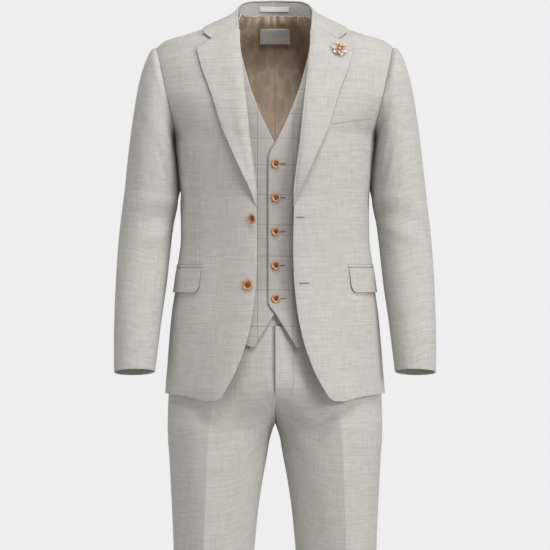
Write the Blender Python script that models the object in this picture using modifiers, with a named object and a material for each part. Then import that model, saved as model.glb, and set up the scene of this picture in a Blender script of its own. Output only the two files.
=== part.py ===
"""Three-piece suit kept in its worn form: open jacket, waistcoat and trousers, hollow inside.

Sizes are in millimetres and turn into metres when a mesh is made. The origin is the base of the
back neck, +Z is up and the front of the suit faces -Y, so the wearer's left is at +X.
"""
import math

import bmesh
import bpy
import numpy as np
from mathutils import Matrix, Vector

MM = 0.001

# Cloth and seams
CLOTH = 2.0
LIGHT_CLOTH = 1.4
LAID_CLOTH = 1.8
SEAM_GAP = 0.3
HALF_GAP = SEAM_GAP / 2
LAID_GAP = 0.6

# The front lines were read from this eye point, so nearer cloth is brought back to its true size
EYE_LEVEL = -505.0
EYE_DISTANCE = 6000.0

# Rings of the forms: |x / half width| ** FORM_POWER + (y / depth) ** 2 = 1
FORM_POWER = 2.3

# Jacket form: height, half width, front depth, back depth
JACKET_FORM = [
    (12, 68, 28, 72), (-6, 84, 33, 78), (-10, 93, 38, 82), (-19, 120, 48, 87),
    (-28, 148, 57, 92), (-38, 178, 66, 97), (-47, 210, 74, 101), (-62, 229.5, 84, 107),
    (-101, 245.6, 103, 118), (-153, 241, 120, 123), (-183, 223, 127, 122),
    (-218, 202.5, 131, 117), (-232, 196, 131.5, 115), (-261, 193.5, 131.5, 111),
    (-281, 190.6, 131, 108), (-330, 186.7, 128, 102), (-359, 183.4, 126, 98),
    (-433, 183.6, 122, 96), (-487, 190, 120, 101), (-532, 194, 120, 108),
    (-577, 201, 121, 114), (-632, 206.5, 122, 119), (-682, 210, 124, 123),
    (-734, 214, 125, 126), (-765, 215, 125, 126),
]
# Armhole: height, half width of the seam line
JACKET_ARMHOLE = [(-62, 229.5), (-101, 221), (-153, 210), (-183, 203), (-218, 196), (-232, 196)]
ARMHOLE_STEPS = 20
ARMHOLE_TOP = -62.0
ARMHOLE_LOW = -232.0
SIDE_SEAM_STEP = 8
SEAM_SETTLE_ROWS = 6
FRONT_SEAM_TURN = 75.0
BACK_SEAM_TURN = 110.0
# How much of the armhole's round foot each row of the side panel still follows
UNDERARM_FADES = [1.0, 0.55, 0.25, 0.08]

# Edge of the jacket front as seen: x, height (roll line above the break, cut edge below)
JACKET_EDGE = [
    (72.6, 14), (72.4, 1), (71, -45), (66.5, -97), (62.6, -134), (56.5, -188), (50, -245),
    (43.5, -291), (39, -328), (36, -365), (34, -456), (36, -513), (41.3, -571), (51, -625),
    (65, -672), (81.6, -711), (93, -731),
]
JACKET_FRONT_HEM = [(93, -731), (103, -744), (120, -751), (140, -751), (174, -745), (214, -735)]
JACKET_SIDE_HEM = -735.0
JACKET_BACK_HEM = -738.0

# Lapel outer edge and gorge as seen: x, height
LAPEL_EDGE = [
    (41.4, -352), (54.4, -317), (74, -274), (102.4, -211), (126, -145), (142, -103),
    (152.4, -64.5),
]
LAPEL_ROLL_LOW = -355.0
GORGE_START = (71, -28)
NOTCH_CORNER = (123, -45.6)
COLLAR_CORNER = (138, -37)
GORGE_GAP = 0.45
GORGE_BOW = 5.6
GORGE_FADE = 12
NOTCH_SHARE = 0.64
LAPEL_SHARES = [0.13, 0.32, 0.54, 0.77, 1.0]
LAPEL_LIFT = 0.3
LAPEL_TOP_LIFT = 1.6
LAPEL_EDGE_LIFT = 1.2

# Waistcoat form lies this far inside the jacket form; its shoulders carry the jacket's
WAISTCOAT_INSET = 9.5
SHOULDER_INSET = 3.6
NECK_INSET = 6.2
SHOULDER_DROP = 1.9
NECK_DRAW_IN = 1.8
# Armhole and edges as seen or true: height, half width
WAISTCOAT_ARMHOLE = [(-46, 166), (-80, 158), (-125, 151), (-170, 154), (-215, 170), (-252, 184.4)]
WAISTCOAT_ARMHOLE_LOW = -252.0
WAISTCOAT_EDGE = [
    (80, -2), (73, -20), (67, -63), (51, -128), (30.5, -184), (15.6, -217), (0, -247.5),
    (-12.7, -273), (-13.8, -300), (-13.8, -540), (-13.4, -559), (0, -579.5), (41.7, -647),
]
WAISTCOAT_HEM = [(41.7, -647), (54, -643.5), (120, -626), (185, -608)]
WAISTCOAT_SIDE_HEM = -606.0
WAISTCOAT_BACK_HEM = -600.0
WAISTCOAT_SIDE_TURN = 94.0
OVERLAP_LIFT = 2.8
OVERLAP_FADE = (22.0, 62.0)

# Trousers above the fork: height, half width, front depth, back depth
TROUSER_FORM = [
    (-560, 176, 104, 96), (-602, 180, 107.5, 98), (-640, 186, 110.6, 103),
    (-690, 199, 113.4, 109),
    (-740, 207.4, 114, 113), (-800, 209.4, 112, 115), (-810, 209.4, 112, 115),
]
# Leg: height, inner x, crease x, outer x, front crease depth, back crease depth
LEG_FORM = [
    (-640, 0.5, 112, 186, 95, 92), (-700, 0.5, 116, 201, 99, 97),
    (-750, 0.8, 118, 208, 101, 101), (-800, 2.5, 127, 209.4, 102, 104),
    (-822, 8.8, 129, 209, 102, 105), (-855, 14.8, 130.5, 206.5, 101.5, 105),
    (-913, 25.5, 132.5, 203.4, 100, 104), (-973, 34, 135, 200.6, 97, 101),
    (-1041, 40.3, 136.6, 198.2, 93, 98), (-1180, 54, 137.5, 195.5, 82, 90),
    (-1400, 70, 137.5, 193.5, 71, 81), (-1598, 81, 137.5, 192, 64, 76),
]
CREASE_ANGLE = [(-1598, 62), (-1040, 68), (-800, 74), (-700, 84), (-600, 89)]
LEG_SEAM_DEPTH = 8.0
FORK_TOP = -700.0
FORK_LOW = -800.0
FRONT_FORK_POWER = 2.5
BACK_FORK_POWER = 2.0
WAISTBAND_TOP = -565.0
WAISTBAND_LOW = -603.0
TROUSER_LEVELS = [
    -603, -650, -700, -728, -752, -772, -788, -800, -822, -855, -913, -985, -1080, -1200,
    -1330, -1460, -1598,
]

# Sleeve sections: outer x, outer height, inner x, inner height, front half depth,
# back half depth, middle y
SLEEVE_SECTIONS = [
    (238.5, -65.5, 198.2, -238, 64, 66, 0), (250, -84, 197.8, -248, 66, 68, 0),
    (259, -108, 196.2, -266, 68, 70, 0), (268.5, -148, 194.6, -287, 70, 71, 1),
    (279, -213, 191.8, -324, 69.5, 70.5, 4), (288.5, -290, 189.6, -362, 66.5, 67.5, 6.5),
    (297, -365, 198, -408, 64, 65, 8.5), (305, -437, 203.5, -452, 61, 62, 5),
    (310, -515, 210.5, -518, 57.5, 58, -7), (312, -585, 219.3, -584, 53, 54, -20),
    (312.4, -640, 225.8, -638, 49.5, 50.5, -29), (311.7, -694, 232.7, -692, 46, 47, -36),
]
SLEEVE_START = 0.9
SLEEVE_POWER = 2.15
SLEEVE_SEAM_ROOM = 0.7
CUFF_RISE = 7.5
SLEEVE_FRONT_SEAM = 7
SLEEVE_BACK_SEAM = 14

# Pockets as seen: x, height
CHEST_WELT_TOP = ((107, -211), (187, -200))
CHEST_WELT_HEIGHT = 23.5
WELT_RISE = 0.7
FLAP_FRONT_X = 144.0
FLAP_TOP = -491.0
FLAP_LOW = -539.5
FLAP_END_TURN = 104.0
FLAP_CORNER = 9.0
FLAP_CORNER_RISE = 0.45
FLAP_STAND_OFF = 1.4
JETTING_TOP = -485.0

# Collar stations: fold line, middle of the leaf (x, y, z), then the leaf edge on the form
COLLAR_FOLD = [
    (71, -52, -27), (72.6, -34, -6), (73.3, -2, 10), (71, 18, 18), (64, 38, 27),
    (45, 58, 34), (0, 71, 36.5),
]
COLLAR_MIDDLE = [
    (104, -51, -33), (102, -34, -15), (93.5, 0, 0), (89, 26, 1), (76, 50, 8), (49, 71, 12),
    (0, 82, 12),
]
# x, height, behind the shoulder, lift off the form
COLLAR_EDGE = [
    (138, -37, False, 4.8), (139, -31, False, 4.8), (130.5, -22.7, False, 4.6),
    (110.6, -18, True, 5), (85, -14, True, 5), (50, -12.5, True, 5), (0, -13, True, 5),
]
COLLAR_NECK_TURNS = [60, 70, 90, 105, 120, 140, 180]
STAND_BELOW_FOLD = 3.6
NECK_LEVEL = -6.0
NECK_RISE = 14.0

# Buttons: x, height as seen, radius
JACKET_BUTTONS = [("upper", -45, -395, 10.3, 38), ("lower", -51.5, -524, 10.3, 4)]
WAISTCOAT_BUTTON_X = 2.0
WAISTCOAT_BUTTON_HEIGHTS = [-288, -354, -420, -486, -551]
WAISTCOAT_BUTTON_RADIUS = 8.2
BUTTON_STEPS = 14

FLOWER_PLACE = (124, -68)
FLOWER_RADIUS = 15.0
LOOP_SPAN = (-30.5, 27.0)
LOOP_HEIGHTS = (13.4, 23.8)
LABEL_HALF_WIDTH = 30.0
LABEL_HEIGHTS = (-22.0, -52.5)
TAPE_THICKNESS = 1.2

# Finishes: colour, roughness, metallic
FINISHES = {
    "suit_cloth": ((0.60, 0.58, 0.55, 1), 0.9, 0.0),
    "waistcoat_cloth": ((0.58, 0.56, 0.53, 1), 0.9, 0.0),
    "lining_satin": ((0.26, 0.20, 0.145, 1), 0.5, 0.0),
    "stand_cloth": ((0.42, 0.41, 0.39, 1), 0.85, 0.0),
    "button_horn": ((0.40, 0.17, 0.07, 1), 0.35, 0.0),
    "tape": ((0.52, 0.50, 0.47, 1), 0.7, 0.0),
    "label_cloth": ((0.40, 0.39, 0.37, 1), 0.7, 0.0),
    "flower_cloth": ((0.72, 0.50, 0.36, 1), 0.8, 0.0),
}


class Profile:
    """Smooth curve through the rows of a table, looked up by its first column."""

    def __init__(self, rows):
        ordered = np.array(sorted(rows), dtype=float)
        self.keys = ordered[:, 0]
        self.values = ordered[:, 1:]
        grades = np.diff(self.values, axis=0) / np.diff(self.keys)[:, None]
        before, after = grades[:-1], grades[1:]
        same_way = before * after > 0
        total = np.where(same_way, before + after, 1.0)
        inner = np.where(same_way, 2 * before * after / total, 0.0)
        self.slopes = np.vstack([grades[:1], inner, grades[-1:]])

    def __call__(self, key):
        key = min(max(key, self.keys[0]), self.keys[-1])
        row = min(int(np.searchsorted(self.keys, key, side="right")) - 1, len(self.keys) - 2)
        span = self.keys[row + 1] - self.keys[row]
        t = (key - self.keys[row]) / span
        start = (1 + 2 * t) * (1 - t) ** 2 * self.values[row]
        start_slope = t * (1 - t) ** 2 * span * self.slopes[row]
        end = t * t * (3 - 2 * t) * self.values[row + 1]
        end_slope = t * t * (t - 1) * span * self.slopes[row + 1]
        return start + start_slope + end + end_slope


class Path:
    """Smooth line through points, looked up by its share of the length."""

    def __init__(self, points):
        points = np.array(points, dtype=float)
        steps = np.linalg.norm(np.diff(points, axis=0), axis=1)
        shares = np.concatenate([[0.0], np.cumsum(steps)]) / steps.sum()
        self.profile = Profile([(share, *point) for share, point in zip(shares, points)])

    def __call__(self, share):
        return self.profile(share)


class Form:
    """Worn shape: a ring at each height, turned from the front centre round to the back."""

    def __init__(self, rows):
        self.profile = Profile(rows)

    def at(self, turn, height):
        half_width, front, back = self.profile(height)
        angle = math.radians(abs(turn))
        x = half_width * abs(math.sin(angle)) ** (2 / FORM_POWER)
        depth = front if abs(turn) < 90 else back
        return np.array([math.copysign(x, turn), -depth * math.cos(angle), height])

    def turn_of(self, x, height, behind=False):
        share = min(abs(x) / self.profile(height)[0], 1.0)
        turn = math.degrees(math.asin(share ** (FORM_POWER / 2)))
        return math.copysign(180 - turn if behind else turn, x)

    def normal(self, turn, height):
        around = self.at(turn + 0.6, height) - self.at(turn - 0.6, height)
        upward = self.at(turn, height + 1.5) - self.at(turn, height - 1.5)
        across = np.cross(around, upward)
        return across / np.linalg.norm(across)

    def lifted(self, turn, height, lift):
        return self.at(turn, height) + lift * self.normal(turn, height)

    def on(self, x, height, lift=0.0, behind=False):
        return self.lifted(self.turn_of(x, height, behind), height, lift)


def true_line(seen, form):
    """Rows (x, height) as seen from the eye point, brought back to their true size."""
    rows = []
    for x, height in seen:
        true_x, true_height = x, height
        for _ in range(3):
            scale = 1.0 + form.on(true_x, true_height)[1] / EYE_DISTANCE
            true_x = x * scale
            true_height = EYE_LEVEL + (height - EYE_LEVEL) * scale
        rows.append((true_x, true_height))
    return rows


def by_height(line):
    """Rows (x, height) as a profile that gives x at a height."""
    return Profile([(height, x) for x, height in line])


def blend(start, end, share):
    return start + (end - start) * share


def smooth_step(low, high, value):
    share = min(max((value - low) / (high - low), 0.0), 1.0)
    return share * share * (3 - 2 * share)


def waistcoat_rows():
    """Form rows of the waistcoat: drawn in from the jacket's, just under it at the shoulders."""
    changed = []
    for height, half_width, front, back in JACKET_FORM:
        share = smooth_step(-150, -70, height)
        across = half_width - blend(WAISTCOAT_INSET, SHOULDER_INSET, share)
        inset = blend(WAISTCOAT_INSET, NECK_INSET, share)
        changed.append((height - SHOULDER_DROP * share, across, front - inset, back - inset))
    return changed


JACKET = Form(JACKET_FORM)
WAISTCOAT = Form(waistcoat_rows())
TROUSERS = Form(TROUSER_FORM)


def trimmed(grid, thickness=CLOTH, top=True, room=0.0):
    """Grid whose edges are drawn in along the cloth, so that the walls stay a seam gap apart.

    Where the cloth bends toward its neighbour the wall needs more room, by its thickness.
    """
    grid = np.array(grid, dtype=float)

    def drawn_in(edge, near, far):
        step, following = near - edge, far - near
        length = np.maximum(np.linalg.norm(step, axis=-1, keepdims=True), 1e-6)
        next_length = np.maximum(np.linalg.norm(following, axis=-1, keepdims=True), 1e-6)
        alike = np.sum(step * following, axis=-1, keepdims=True) / (length * next_length)
        bend = np.arccos(np.clip(alike, -1.0, 1.0))
        pull = np.minimum(HALF_GAP + room + thickness * np.tan(bend / 2), 0.3 * length)
        return edge + step / length * pull

    if top:
        grid[0] = drawn_in(grid[0], grid[1], grid[2])
    grid[-1] = drawn_in(grid[-1], grid[-2], grid[-3])
    grid[:, 0] = drawn_in(grid[:, 0], grid[:, 1], grid[:, 2])
    grid[:, -1] = drawn_in(grid[:, -1], grid[:, -2], grid[:, -3])
    return grid


def mirrored(grid):
    """The same grid on the other side, its faces still looking outward."""
    flipped = np.array(grid, dtype=float)[:, ::-1].copy()
    flipped[..., 0] *= -1
    return flipped


def finish_object(name, mesh, finish, collection):
    piece = bpy.data.objects.new(name, mesh)
    collection.objects.link(piece)
    colour, roughness, metallic = FINISHES[finish]
    material = bpy.data.materials.new(name + "_finish")
    material.use_nodes = True
    shader = material.node_tree.nodes["Principled BSDF"]
    shader.inputs["Base Color"].default_value = colour
    shader.inputs["Roughness"].default_value = roughness
    shader.inputs["Metallic"].default_value = metallic
    mesh.materials.append(material)
    for face in mesh.polygons:
        face.use_smooth = True
    return piece


def make_sheet(name, grid, thickness, finish, collection, inward=True):
    """Cloth wall on a grid of points; its thickness grows to the inner side."""
    grid = np.array(grid, dtype=float)
    rows, columns = grid.shape[:2]
    points = (grid.reshape(-1, 3) * MM).tolist()
    faces = []
    for row in range(rows - 1):
        for column in range(columns - 1):
            corner = row * columns + column
            face = (corner, corner + columns, corner + columns + 1, corner + 1)
            faces.append(face if inward else face[::-1])
    mesh = bpy.data.meshes.new(name)
    mesh.from_pydata(points, [], faces)
    piece = finish_object(name, mesh, finish, collection)
    wall = piece.modifiers.new("wall", "SOLIDIFY")
    wall.thickness = thickness * MM
    wall.offset = -1.0
    return piece


def make_pair(name, grid, thickness, finish, collection):
    make_sheet(name + "_left", grid, thickness, finish, collection)
    make_sheet(name + "_right", mirrored(grid), thickness, finish, collection)


# Jacket body

def armhole_height(step):
    middle = (ARMHOLE_TOP + ARMHOLE_LOW) / 2
    half_height = (ARMHOLE_TOP - ARMHOLE_LOW) / 2
    return middle + half_height * math.cos(2 * math.pi * step / ARMHOLE_STEPS)


def armhole_turn(step):
    """Turn of the armhole seam: front for the first half of the steps, then behind."""
    height = armhole_height(step)
    x = min(Profile(JACKET_ARMHOLE)(height)[0], JACKET.profile(height)[0])
    return JACKET.turn_of(x, height, behind=step > ARMHOLE_STEPS / 2)


SHOULDER_LEVELS = [NECK_LEVEL, -11, -18, -27, -37, -48, -56]
ARMHOLE_LEVELS = [armhole_height(step) for step in range(SIDE_SEAM_STEP + 1)]
BODY_LEVELS = [-232, -256, -290, -330, -375, -425, -480, -530, -575]
HEM_SHARES = [0.27, 0.52, 0.74, 0.9, 1.0]
HEM_START = BODY_LEVELS[-1]
TOP_LEVELS = SHOULDER_LEVELS + ARMHOLE_LEVELS
ROW_COUNT = len(TOP_LEVELS) + len(BODY_LEVELS) + len(HEM_SHARES)
FIRST_BODY_ROW = len(TOP_LEVELS)


def row_height(row, hem):
    """Height of a row of the jacket body over a given hem height."""
    levels = TOP_LEVELS + BODY_LEVELS
    if row < len(levels):
        return levels[row]
    return blend(HEM_START, hem, HEM_SHARES[row - len(levels)])


def seam_turn(row, behind):
    """Turn where the front or back panel ends at a row: shoulder, armhole or side seam."""
    if row < len(SHOULDER_LEVELS):
        return 90.0
    step = row - len(SHOULDER_LEVELS)
    if step <= SIDE_SEAM_STEP:
        return armhole_turn(ARMHOLE_STEPS - step if behind else step)
    top_turn = armhole_turn(ARMHOLE_STEPS - SIDE_SEAM_STEP if behind else SIDE_SEAM_STEP)
    low_turn = BACK_SEAM_TURN if behind else FRONT_SEAM_TURN
    share = min((row - FIRST_BODY_ROW + 1) / SEAM_SETTLE_ROWS, 1.0)
    return blend(top_turn, low_turn, share)


def jacket_front_grid(columns=8):
    edge = by_height(true_line(JACKET_EDGE, JACKET))
    hem = Profile(true_line(JACKET_FRONT_HEM, JACKET))
    low_height = true_line(JACKET_FRONT_HEM, JACKET)[0][1]
    low_turn = JACKET.turn_of(edge(low_height)[0], low_height)
    grid = np.zeros((ROW_COUNT, columns, 3))
    for row in range(ROW_COUNT):
        for column in range(columns):
            share = column / (columns - 1)
            hem_turn = blend(low_turn, FRONT_SEAM_TURN, share)
            x_at_hem = JACKET.at(hem_turn, JACKET_SIDE_HEM)[0]
            height = row_height(row, hem(x_at_hem)[0])
            edge_turn = JACKET.turn_of(edge(height)[0], height)
            grid[row, column] = JACKET.at(blend(edge_turn, seam_turn(row, False), share), height)
    return grid


def neck_rise(turn, row_share):
    """Rise of the back neck line over the neck level, fading out down the back."""
    return NECK_RISE * smooth_step(90, 120, turn) * (1 - smooth_step(0, 1, row_share))


def jacket_back_grid(columns=8):
    grid = np.zeros((ROW_COUNT, columns, 3))
    for row in range(ROW_COUNT):
        for column in range(columns):
            share = column / (columns - 1)
            turn = blend(seam_turn(row, True), 180.0, share)
            hem = blend(JACKET_SIDE_HEM, JACKET_BACK_HEM, share)
            height = row_height(row, hem) + neck_rise(turn, row / len(SHOULDER_LEVELS))
            grid[row, column] = JACKET.at(turn, height)
    return grid


def jacket_side_grid():
    steps = range(SIDE_SEAM_STEP, ARMHOLE_STEPS - SIDE_SEAM_STEP + 1)
    last = len(steps) - 1
    fades = UNDERARM_FADES
    rows = []
    for row in range(FIRST_BODY_ROW - 1, ROW_COUNT):
        below = row - (FIRST_BODY_ROW - 1)
        fade = fades[below] if below < len(fades) else 0.0
        front_turn, back_turn = seam_turn(row, False), seam_turn(row, True)
        level = row_height(row, JACKET_SIDE_HEM)
        points = []
        for column, step in enumerate(steps):
            even_turn = blend(front_turn, back_turn, column / last)
            turn = blend(even_turn, armhole_turn(step), fade)
            if column in (0, last):
                turn = even_turn
            dip = ARMHOLE_LEVELS[-1] - armhole_height(step)
            points.append(JACKET.at(turn, level - dip * fade))
        rows.append(points)
    return np.array(rows)


def build_jacket_body(collection):
    make_pair("jacket_front", trimmed(jacket_front_grid()), CLOTH, "suit_cloth", collection)
    make_pair("jacket_side", trimmed(jacket_side_grid()), CLOTH, "suit_cloth", collection)
    make_pair("jacket_back", trimmed(jacket_back_grid()), CLOTH, "suit_cloth", collection)


# Lapel and collar

def laid_lift():
    return LAID_GAP + LAID_CLOTH


def lapel_grid(rows=13):
    roll = [point for point in JACKET_EDGE if GORGE_START[1] >= point[1] >= LAPEL_ROLL_LOW]
    roll_x = by_height(true_line(JACKET_EDGE, JACKET))
    roll_seen = [(roll_x(LAPEL_ROLL_LOW)[0], LAPEL_ROLL_LOW)] + roll[::-1] + [GORGE_START]
    roll_path = Path(true_line(roll_seen, JACKET))
    edge_path = Path(true_line(LAPEL_EDGE, JACKET))
    grid = []
    for row in range(rows):
        share = 1 - row / (rows - 1)
        inner, outer = roll_path(share), edge_path(share)
        near_gorge = share ** GORGE_FADE
        lift = laid_lift() + LAPEL_LIFT + LAPEL_TOP_LIFT * share ** 3
        wrap = [(-2.9, -1.3), (-2.7, 0.5 * lift), (-0.7, lift)]
        line = [JACKET.on(inner[0] + step, inner[1], rise) for step, rise in wrap]
        for across in LAPEL_SHARES:
            x, height = blend(inner, outer, across)
            past_notch = max((across - NOTCH_SHARE) / (1 - NOTCH_SHARE), 0)
            height += GORGE_BOW * (min(across / NOTCH_SHARE, 1) - past_notch) * near_gorge
            height -= GORGE_GAP * near_gorge
            line.append(JACKET.on(x, height, lift + LAPEL_EDGE_LIFT * across))
        grid.append(line)
    return np.array(grid)


def station_profile(rows):
    return Profile([(station, *row) for station, row in enumerate(rows)])


def neck_point(turn, above):
    """Point over the neck seam of the back and shoulder."""
    if turn < 90:
        edge = by_height(true_line(JACKET_EDGE, JACKET))
        height = blend(-24.0, NECK_LEVEL, (turn - 60) / 30)
        return JACKET.on(edge(height)[0], height) + np.array([0, 0, above])
    return JACKET.at(turn, NECK_LEVEL + neck_rise(turn, 0.0)) + np.array([0, 0, above])


def collar_sections():
    """Fold, leaf middle, leaf edge and neck seam as profiles over the stations."""
    fold = station_profile(COLLAR_FOLD)
    middle = station_profile(COLLAR_MIDDLE)
    edges = [JACKET.on(x, height, lift, behind) for x, height, behind, lift in COLLAR_EDGE]
    return fold, middle, station_profile(edges)


def gorge_row():
    """Front end of the collar leaf: along the gorge to the notch, then to the corner."""
    seen = [GORGE_START, NOTCH_CORNER, COLLAR_CORNER]
    start, notch, corner = (np.array(point) for point in true_line(seen, JACKET))
    places = [blend(start, notch, share) for share in (-0.03, 0.03, 0.2, 0.5, 0.84)]
    places += [notch, corner]
    row = []
    for index, (x, height) in enumerate(places):
        clear = 0 if index == len(places) - 1 else GORGE_GAP
        row.append(JACKET.on(x, height + clear, laid_lift() + 1.9 + 0.2 * index))
    return row


def collar_leaf_grid(per_station=2):
    fold, middle, edge = collar_sections()
    last = len(COLLAR_FOLD) - 1
    half = [gorge_row()]
    for index in range(1, last * per_station + 1):
        station = index / per_station
        top, mid, low = fold(station), middle(station), edge(station)
        out = (low - top) * np.array([1, 1, 0])
        out = out / np.linalg.norm(out)
        up = np.array([0, 0, 1.0])
        shoulder = top + 3.4 * out
        line = [top - 1.3 * out - 0.5 * up, top + 1.2 * out + 0.2 * up,
                shoulder - 1.6 * up]
        for share in (0.3, 0.52, 0.76, 1.0):
            from_fold = (1 - share) * (1 - 2 * share)
            from_middle = 4 * share * (1 - share)
            from_edge = share * (2 * share - 1)
            line.append(from_fold * shoulder + from_middle * mid + from_edge * low)
        half.append(line)
    half = np.array(half)
    other = half[:-1][::-1].copy()
    other[..., 0] *= -1
    return np.concatenate([half, other])


def collar_stand_grid(first_station=1.3, steps=10):
    fold = station_profile(COLLAR_FOLD)
    turns = station_profile([(turn,) for turn in COLLAR_NECK_TURNS])
    last = len(COLLAR_FOLD) - 1
    half = []
    for index in range(steps):
        station = blend(first_station, last, index / (steps - 1))
        foot = neck_point(turns(station)[0], blend(3.2, 1.5, smooth_step(1.5, 3, station)))
        top = fold(station) - np.array([0, 0, STAND_BELOW_FOLD])
        half.append([blend(top, foot, share) for share in (0, 0.5, 1)])
    half = np.array(half)
    other = half[:-1][::-1].copy()
    other[..., 0] *= -1
    return np.concatenate([half, other])


def build_collar(collection):
    make_pair("jacket_lapel", lapel_grid(), LAID_CLOTH, "suit_cloth", collection)
    make_sheet("jacket_collar", collar_leaf_grid(), LAID_CLOTH, "suit_cloth", collection, False)
    make_sheet("jacket_collar_stand", collar_stand_grid(), LIGHT_CLOTH, "stand_cloth",
               collection, False)


# Sleeves

def armhole_point(step):
    step = step % ARMHOLE_STEPS
    return JACKET.at(armhole_turn(step), armhole_height(step))


def sleeve_section_point(section, step):
    """Point of a sleeve section at a step round it: outer side, front, inner side, back."""
    outer_x, outer_z, inner_x, inner_z, front, back, middle_y = section
    angle = 2 * math.pi * step / ARMHOLE_STEPS
    power = 2 / SLEEVE_POWER
    along = math.copysign(abs(math.cos(angle)) ** power, math.cos(angle))
    across = math.copysign(abs(math.sin(angle)) ** power, math.sin(angle))
    x = (outer_x + inner_x) / 2 + along * (outer_x - inner_x) / 2
    z = (outer_z + inner_z) / 2 + along * (outer_z - inner_z) / 2
    y = middle_y - across * (front if across > 0 else back)
    return np.array([x, y, z])


def sleeve_grid(first_step, last_step):
    """Part of the sleeve from one seam round to the other, outer side included."""
    rows = []
    steps = range(first_step, last_step - 1, -1)
    rows.append([armhole_point(step) + np.array([SLEEVE_START, 0, 0]) for step in steps])
    last = len(SLEEVE_SECTIONS) - 1
    for index, section in enumerate(SLEEVE_SECTIONS):
        line = []
        for step in steps:
            point = sleeve_section_point(section, step)
            angle = 2 * math.pi * step / ARMHOLE_STEPS
            tilt = smooth_step(last - 3, last, index) * CUFF_RISE
            point[2] += tilt * math.sin(angle)
            line.append(point)
        rows.append(line)
    return np.array(rows)


def build_sleeves(collection):
    top = sleeve_grid(SLEEVE_FRONT_SEAM, SLEEVE_BACK_SEAM - ARMHOLE_STEPS)
    under = sleeve_grid(SLEEVE_BACK_SEAM, SLEEVE_FRONT_SEAM)
    top = trimmed(top, top=False, room=SLEEVE_SEAM_ROOM)
    under = trimmed(under, top=False, room=SLEEVE_SEAM_ROOM)
    make_pair("sleeve_top", top, CLOTH, "suit_cloth", collection)
    make_pair("sleeve_under", under, CLOTH, "suit_cloth", collection)


# Pockets

def pocket_flap_grid(columns=10, rows=4):
    top_x, top_z = true_line([(FLAP_FRONT_X, FLAP_TOP)], JACKET)[0]
    low_z = true_line([(FLAP_FRONT_X, FLAP_LOW)], JACKET)[0][1]
    start = JACKET.turn_of(top_x, top_z)
    grid = np.zeros((rows, columns, 3))
    for row in range(rows):
        down = row / (rows - 1)
        for column in range(columns):
            share = column / (columns - 1)
            near_end = min(share, 1 - share) * (columns - 1)
            corner = FLAP_CORNER * max(1 - near_end, 0) * (FLAP_CORNER_RISE if down == 1 else 0)
            turn = blend(start + 0.8 * down, FLAP_END_TURN, share)
            height = blend(top_z, low_z, down) + corner
            grid[row, column] = JACKET.lifted(turn, height, laid_lift() + FLAP_STAND_OFF * down)
    return grid


def jetting_grid(columns=10):
    top_x, top_z = true_line([(FLAP_FRONT_X, JETTING_TOP)], JACKET)[0]
    low_z = true_line([(FLAP_FRONT_X, FLAP_TOP)], JACKET)[0][1] + SEAM_GAP
    start = JACKET.turn_of(top_x, top_z) - 1.0
    rows = []
    for height in (top_z, low_z):
        turns = [blend(start, FLAP_END_TURN + 1.0, column / (columns - 1))
                 for column in range(columns)]
        rows.append([JACKET.lifted(turn, height, laid_lift()) for turn in turns])
    return np.array(rows)


def chest_welt_grid(columns=8, rows=3):
    (start_x, start_z), (end_x, end_z) = true_line(CHEST_WELT_TOP, JACKET)
    grid = np.zeros((rows, columns, 3))
    for row in range(rows):
        for column in range(columns):
            share = column / (columns - 1)
            x = blend(start_x, end_x, share)
            height = blend(start_z, end_z, share) - CHEST_WELT_HEIGHT * row / (rows - 1)
            grid[row, column] = JACKET.on(x, height, laid_lift() + WELT_RISE)
    return grid


def build_pockets(collection):
    make_pair("pocket_flap", pocket_flap_grid(), LAID_CLOTH, "suit_cloth", collection)
    make_pair("pocket_jetting", jetting_grid(), LAID_CLOTH, "suit_cloth", collection)
    make_sheet("chest_welt", chest_welt_grid(), LAID_CLOTH, "suit_cloth", collection)


# Waistcoat

WAISTCOAT_SHOULDER_TOP = -13.5
WAISTCOAT_NECK_TOP = 6.0
WAISTCOAT_HEM_SHARES = [0.35, 0.7, 1.0]
NECK_RISE_ROWS = 6
EDGE_CROWDING = 1.25


def waistcoat_armhole_turn(height, behind):
    armhole = Profile(WAISTCOAT_ARMHOLE)
    x = min(armhole(height)[0], WAISTCOAT.profile(height)[0])
    return WAISTCOAT.turn_of(x, height, behind)


def waistcoat_levels():
    shoulder = [WAISTCOAT_SHOULDER_TOP, -20, -29, -38]
    armhole_top = -46.0
    armhole = []
    steps = 8
    for step in range(steps + 1):
        share = (1 - math.cos(math.pi * step / steps)) / 2
        armhole.append(blend(armhole_top, WAISTCOAT_ARMHOLE_LOW, share))
    body = [-290, -335, -390, -445, -500, -545]
    return shoulder, armhole, body


def waistcoat_end_turn(height, shoulder_low, behind):
    if height > shoulder_low:
        return 90.0
    if height > WAISTCOAT_ARMHOLE_LOW:
        return waistcoat_armhole_turn(height, behind)
    return blend(90.0, WAISTCOAT_SIDE_TURN, smooth_step(0, 60, WAISTCOAT_ARMHOLE_LOW - height))


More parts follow.
